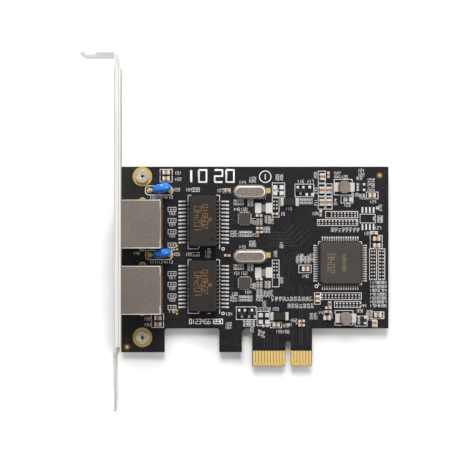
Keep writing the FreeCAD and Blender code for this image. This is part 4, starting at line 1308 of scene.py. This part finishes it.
class CARD_OT_stage(bpy.types.Operator):
    """Set the table, the light and the camera"""

    bl_idname = "card.stage"
    bl_label = "Stage"

    def execute(self, context):
        self.table()
        self.light()
        self.camera()
        context.scene.view_settings.view_transform = "Standard"
        return {"FINISHED"}

    def table(self):
        mesh = bmesh.new()
        bmesh.ops.create_grid(mesh, x_segments=1, y_segments=1, size=3)
        floor = piece_from("floor", mesh)
        floor.location.z = -0.02 * MM
        tree, shader = new_shader("table")
        shader.inputs["Base Color"].default_value = (*colours().floor, 1)
        shader.inputs["Roughness"].default_value = 0.9
        shader.inputs["Specular IOR Level"].default_value = 0.1
        away = joined(tree, "ShaderNodeVectorMath", {0: object_pattern(tree)}, operation="LENGTH")
        near = 120 * MM
        far = 500 * MM
        middle_glow = 0.05
        strength = ramp(tree, away.outputs["Value"], near, far, middle_glow)
        glow = joined(tree, "ShaderNodeEmission", {"Strength": strength}).outputs["Emission"]
        nothing = joined(tree, "ShaderNodeEmission", {"Strength": 0.0}).outputs["Emission"]
        inputs = {0: shader.outputs["BSDF"], 1: for_camera(tree, nothing, glow)}
        together = joined(tree, "ShaderNodeAddShader", inputs).outputs["Shader"]
        tree.links.new(together, tree.nodes["Material Output"].inputs["Surface"])
        floor.data.materials.append(bpy.data.materials["table"])

    def light(self):
        """A key lamp from the tab's end, two fills, and a sky that is darker overhead.

        As in the photograph, the bracket on its edge throws no shadow on the floor.
        """
        tall = ["bracket_sheet"]
        past_bracket = self.all_but("key_blockers", tall)
        for port in PORTS:
            tall += [f"{port}_shield_can", f"{port}_jack_housing", f"{port}_jack_contacts"]
        past_jacks = self.all_but("fill_blockers", tall)
        lamps = (
            ("key", (0.0, 0.82, 0.9), 0.62, 16.5, past_bracket),
            ("fill", (0.95, 0.0, 0.55), 0.7, 5.5, past_jacks),
            ("side", (-0.7, -0.5, 0.8), 0.9, 1.5, past_jacks),
        )
        for name, place, width, power, blockers in lamps:
            lamp = bpy.data.lights.new(name, "AREA")
            lamp.size = width
            lamp.energy = power
            holder = placed(name, lamp)
            holder.location = place
            holder.rotation_euler = (-Vector(place)).to_track_quat("-Z", "Y").to_euler()
            holder.light_linking.blocker_collection = blockers
        world = bpy.data.worlds.new("studio")
        world.use_nodes = True
        tree = world.node_tree
        height = part_of(tree, joined(tree, "ShaderNodeTexCoord").outputs["Generated"], "Z")
        low_sky = (1.0, 0.98, 0.95)
        overhead = (0.26, 0.25, 0.25)
        sky = blend(tree, ramp(tree, height, 0.25, 0.95), low_sky, overhead)
        soft = tree.nodes["Background"]
        soft.inputs["Strength"].default_value = 0.52
        tree.links.new(sky, soft.inputs["Color"])
        white = joined(tree, "ShaderNodeBackground", {"Color": (1, 1, 1, 1)}).outputs["Background"]
        seen = for_camera(tree, soft.outputs["Background"], white)
        tree.links.new(seen, tree.nodes["World Output"].inputs["Surface"])
        bpy.context.scene.world = world

    def all_but(self, name, pieces):
        """A collection that lets every piece throw a shadow but these."""
        blockers = bpy.data.collections.new(name)
        for piece in pieces:
            blockers.objects.link(bpy.data.objects[piece])
        for member in blockers.collection_objects:
            member.light_linking.link_state = "EXCLUDE"
        return blockers

    def camera(self):
        """Straight above the board, half a metre away, as in the photograph."""
        distance = 500 * MM
        pixels_per_millimetre = 2.945
        picture = 473
        camera = bpy.data.cameras.new("camera")
        camera.sensor_width = 36
        camera.lens = camera.sensor_width * pixels_per_millimetre * distance / MM / picture
        camera.clip_start = 0.02
        holder = placed("camera", camera)
        holder.location = (0.165 * MM, -1.49 * MM, FACE + distance)
        bpy.context.scene.camera = holder


OPERATORS = (
    CARD_OT_bracket,
    CARD_OT_board,
    CARD_OT_print,
    CARD_OT_tracks,
    CARD_OT_jacks,
    CARD_OT_magnetics,
    CARD_OT_packages,
    CARD_OT_crystals,
    CARD_OT_discs,
    CARD_OT_chip_parts,
    CARD_OT_solder,
    CARD_OT_stage,
)


class CARD_PT_panel(bpy.types.Panel):
    """The card's pieces and its stage"""

    bl_idname = "CARD_PT_panel"
    bl_label = "Network card"
    bl_space_type = "VIEW_3D"
    bl_region_type = "UI"
    bl_category = "Card"

    def draw(self, context):
        for operator in OPERATORS:
            self.layout.operator(operator.bl_idname)


def register():
    for part in (CardSizes, CardColours, *OPERATORS, CARD_PT_panel):
        bpy.utils.register_class(part)
    bpy.types.Scene.card_sizes = bpy.props.PointerProperty(type=CardSizes)
    bpy.types.Scene.card_colours = bpy.props.PointerProperty(type=CardColours)


def unregister():
    del bpy.types.Scene.card_colours
    del bpy.types.Scene.card_sizes
    for part in (CARD_PT_panel, *reversed(OPERATORS), CardColours, CardSizes):
        bpy.utils.unregister_class(part)


def main():
    register()
    for operator in OPERATORS:
        family, step = operator.bl_idname.split(".")
        getattr(getattr(bpy.ops, family), step)()


if __name__ == "__main__":
    main()
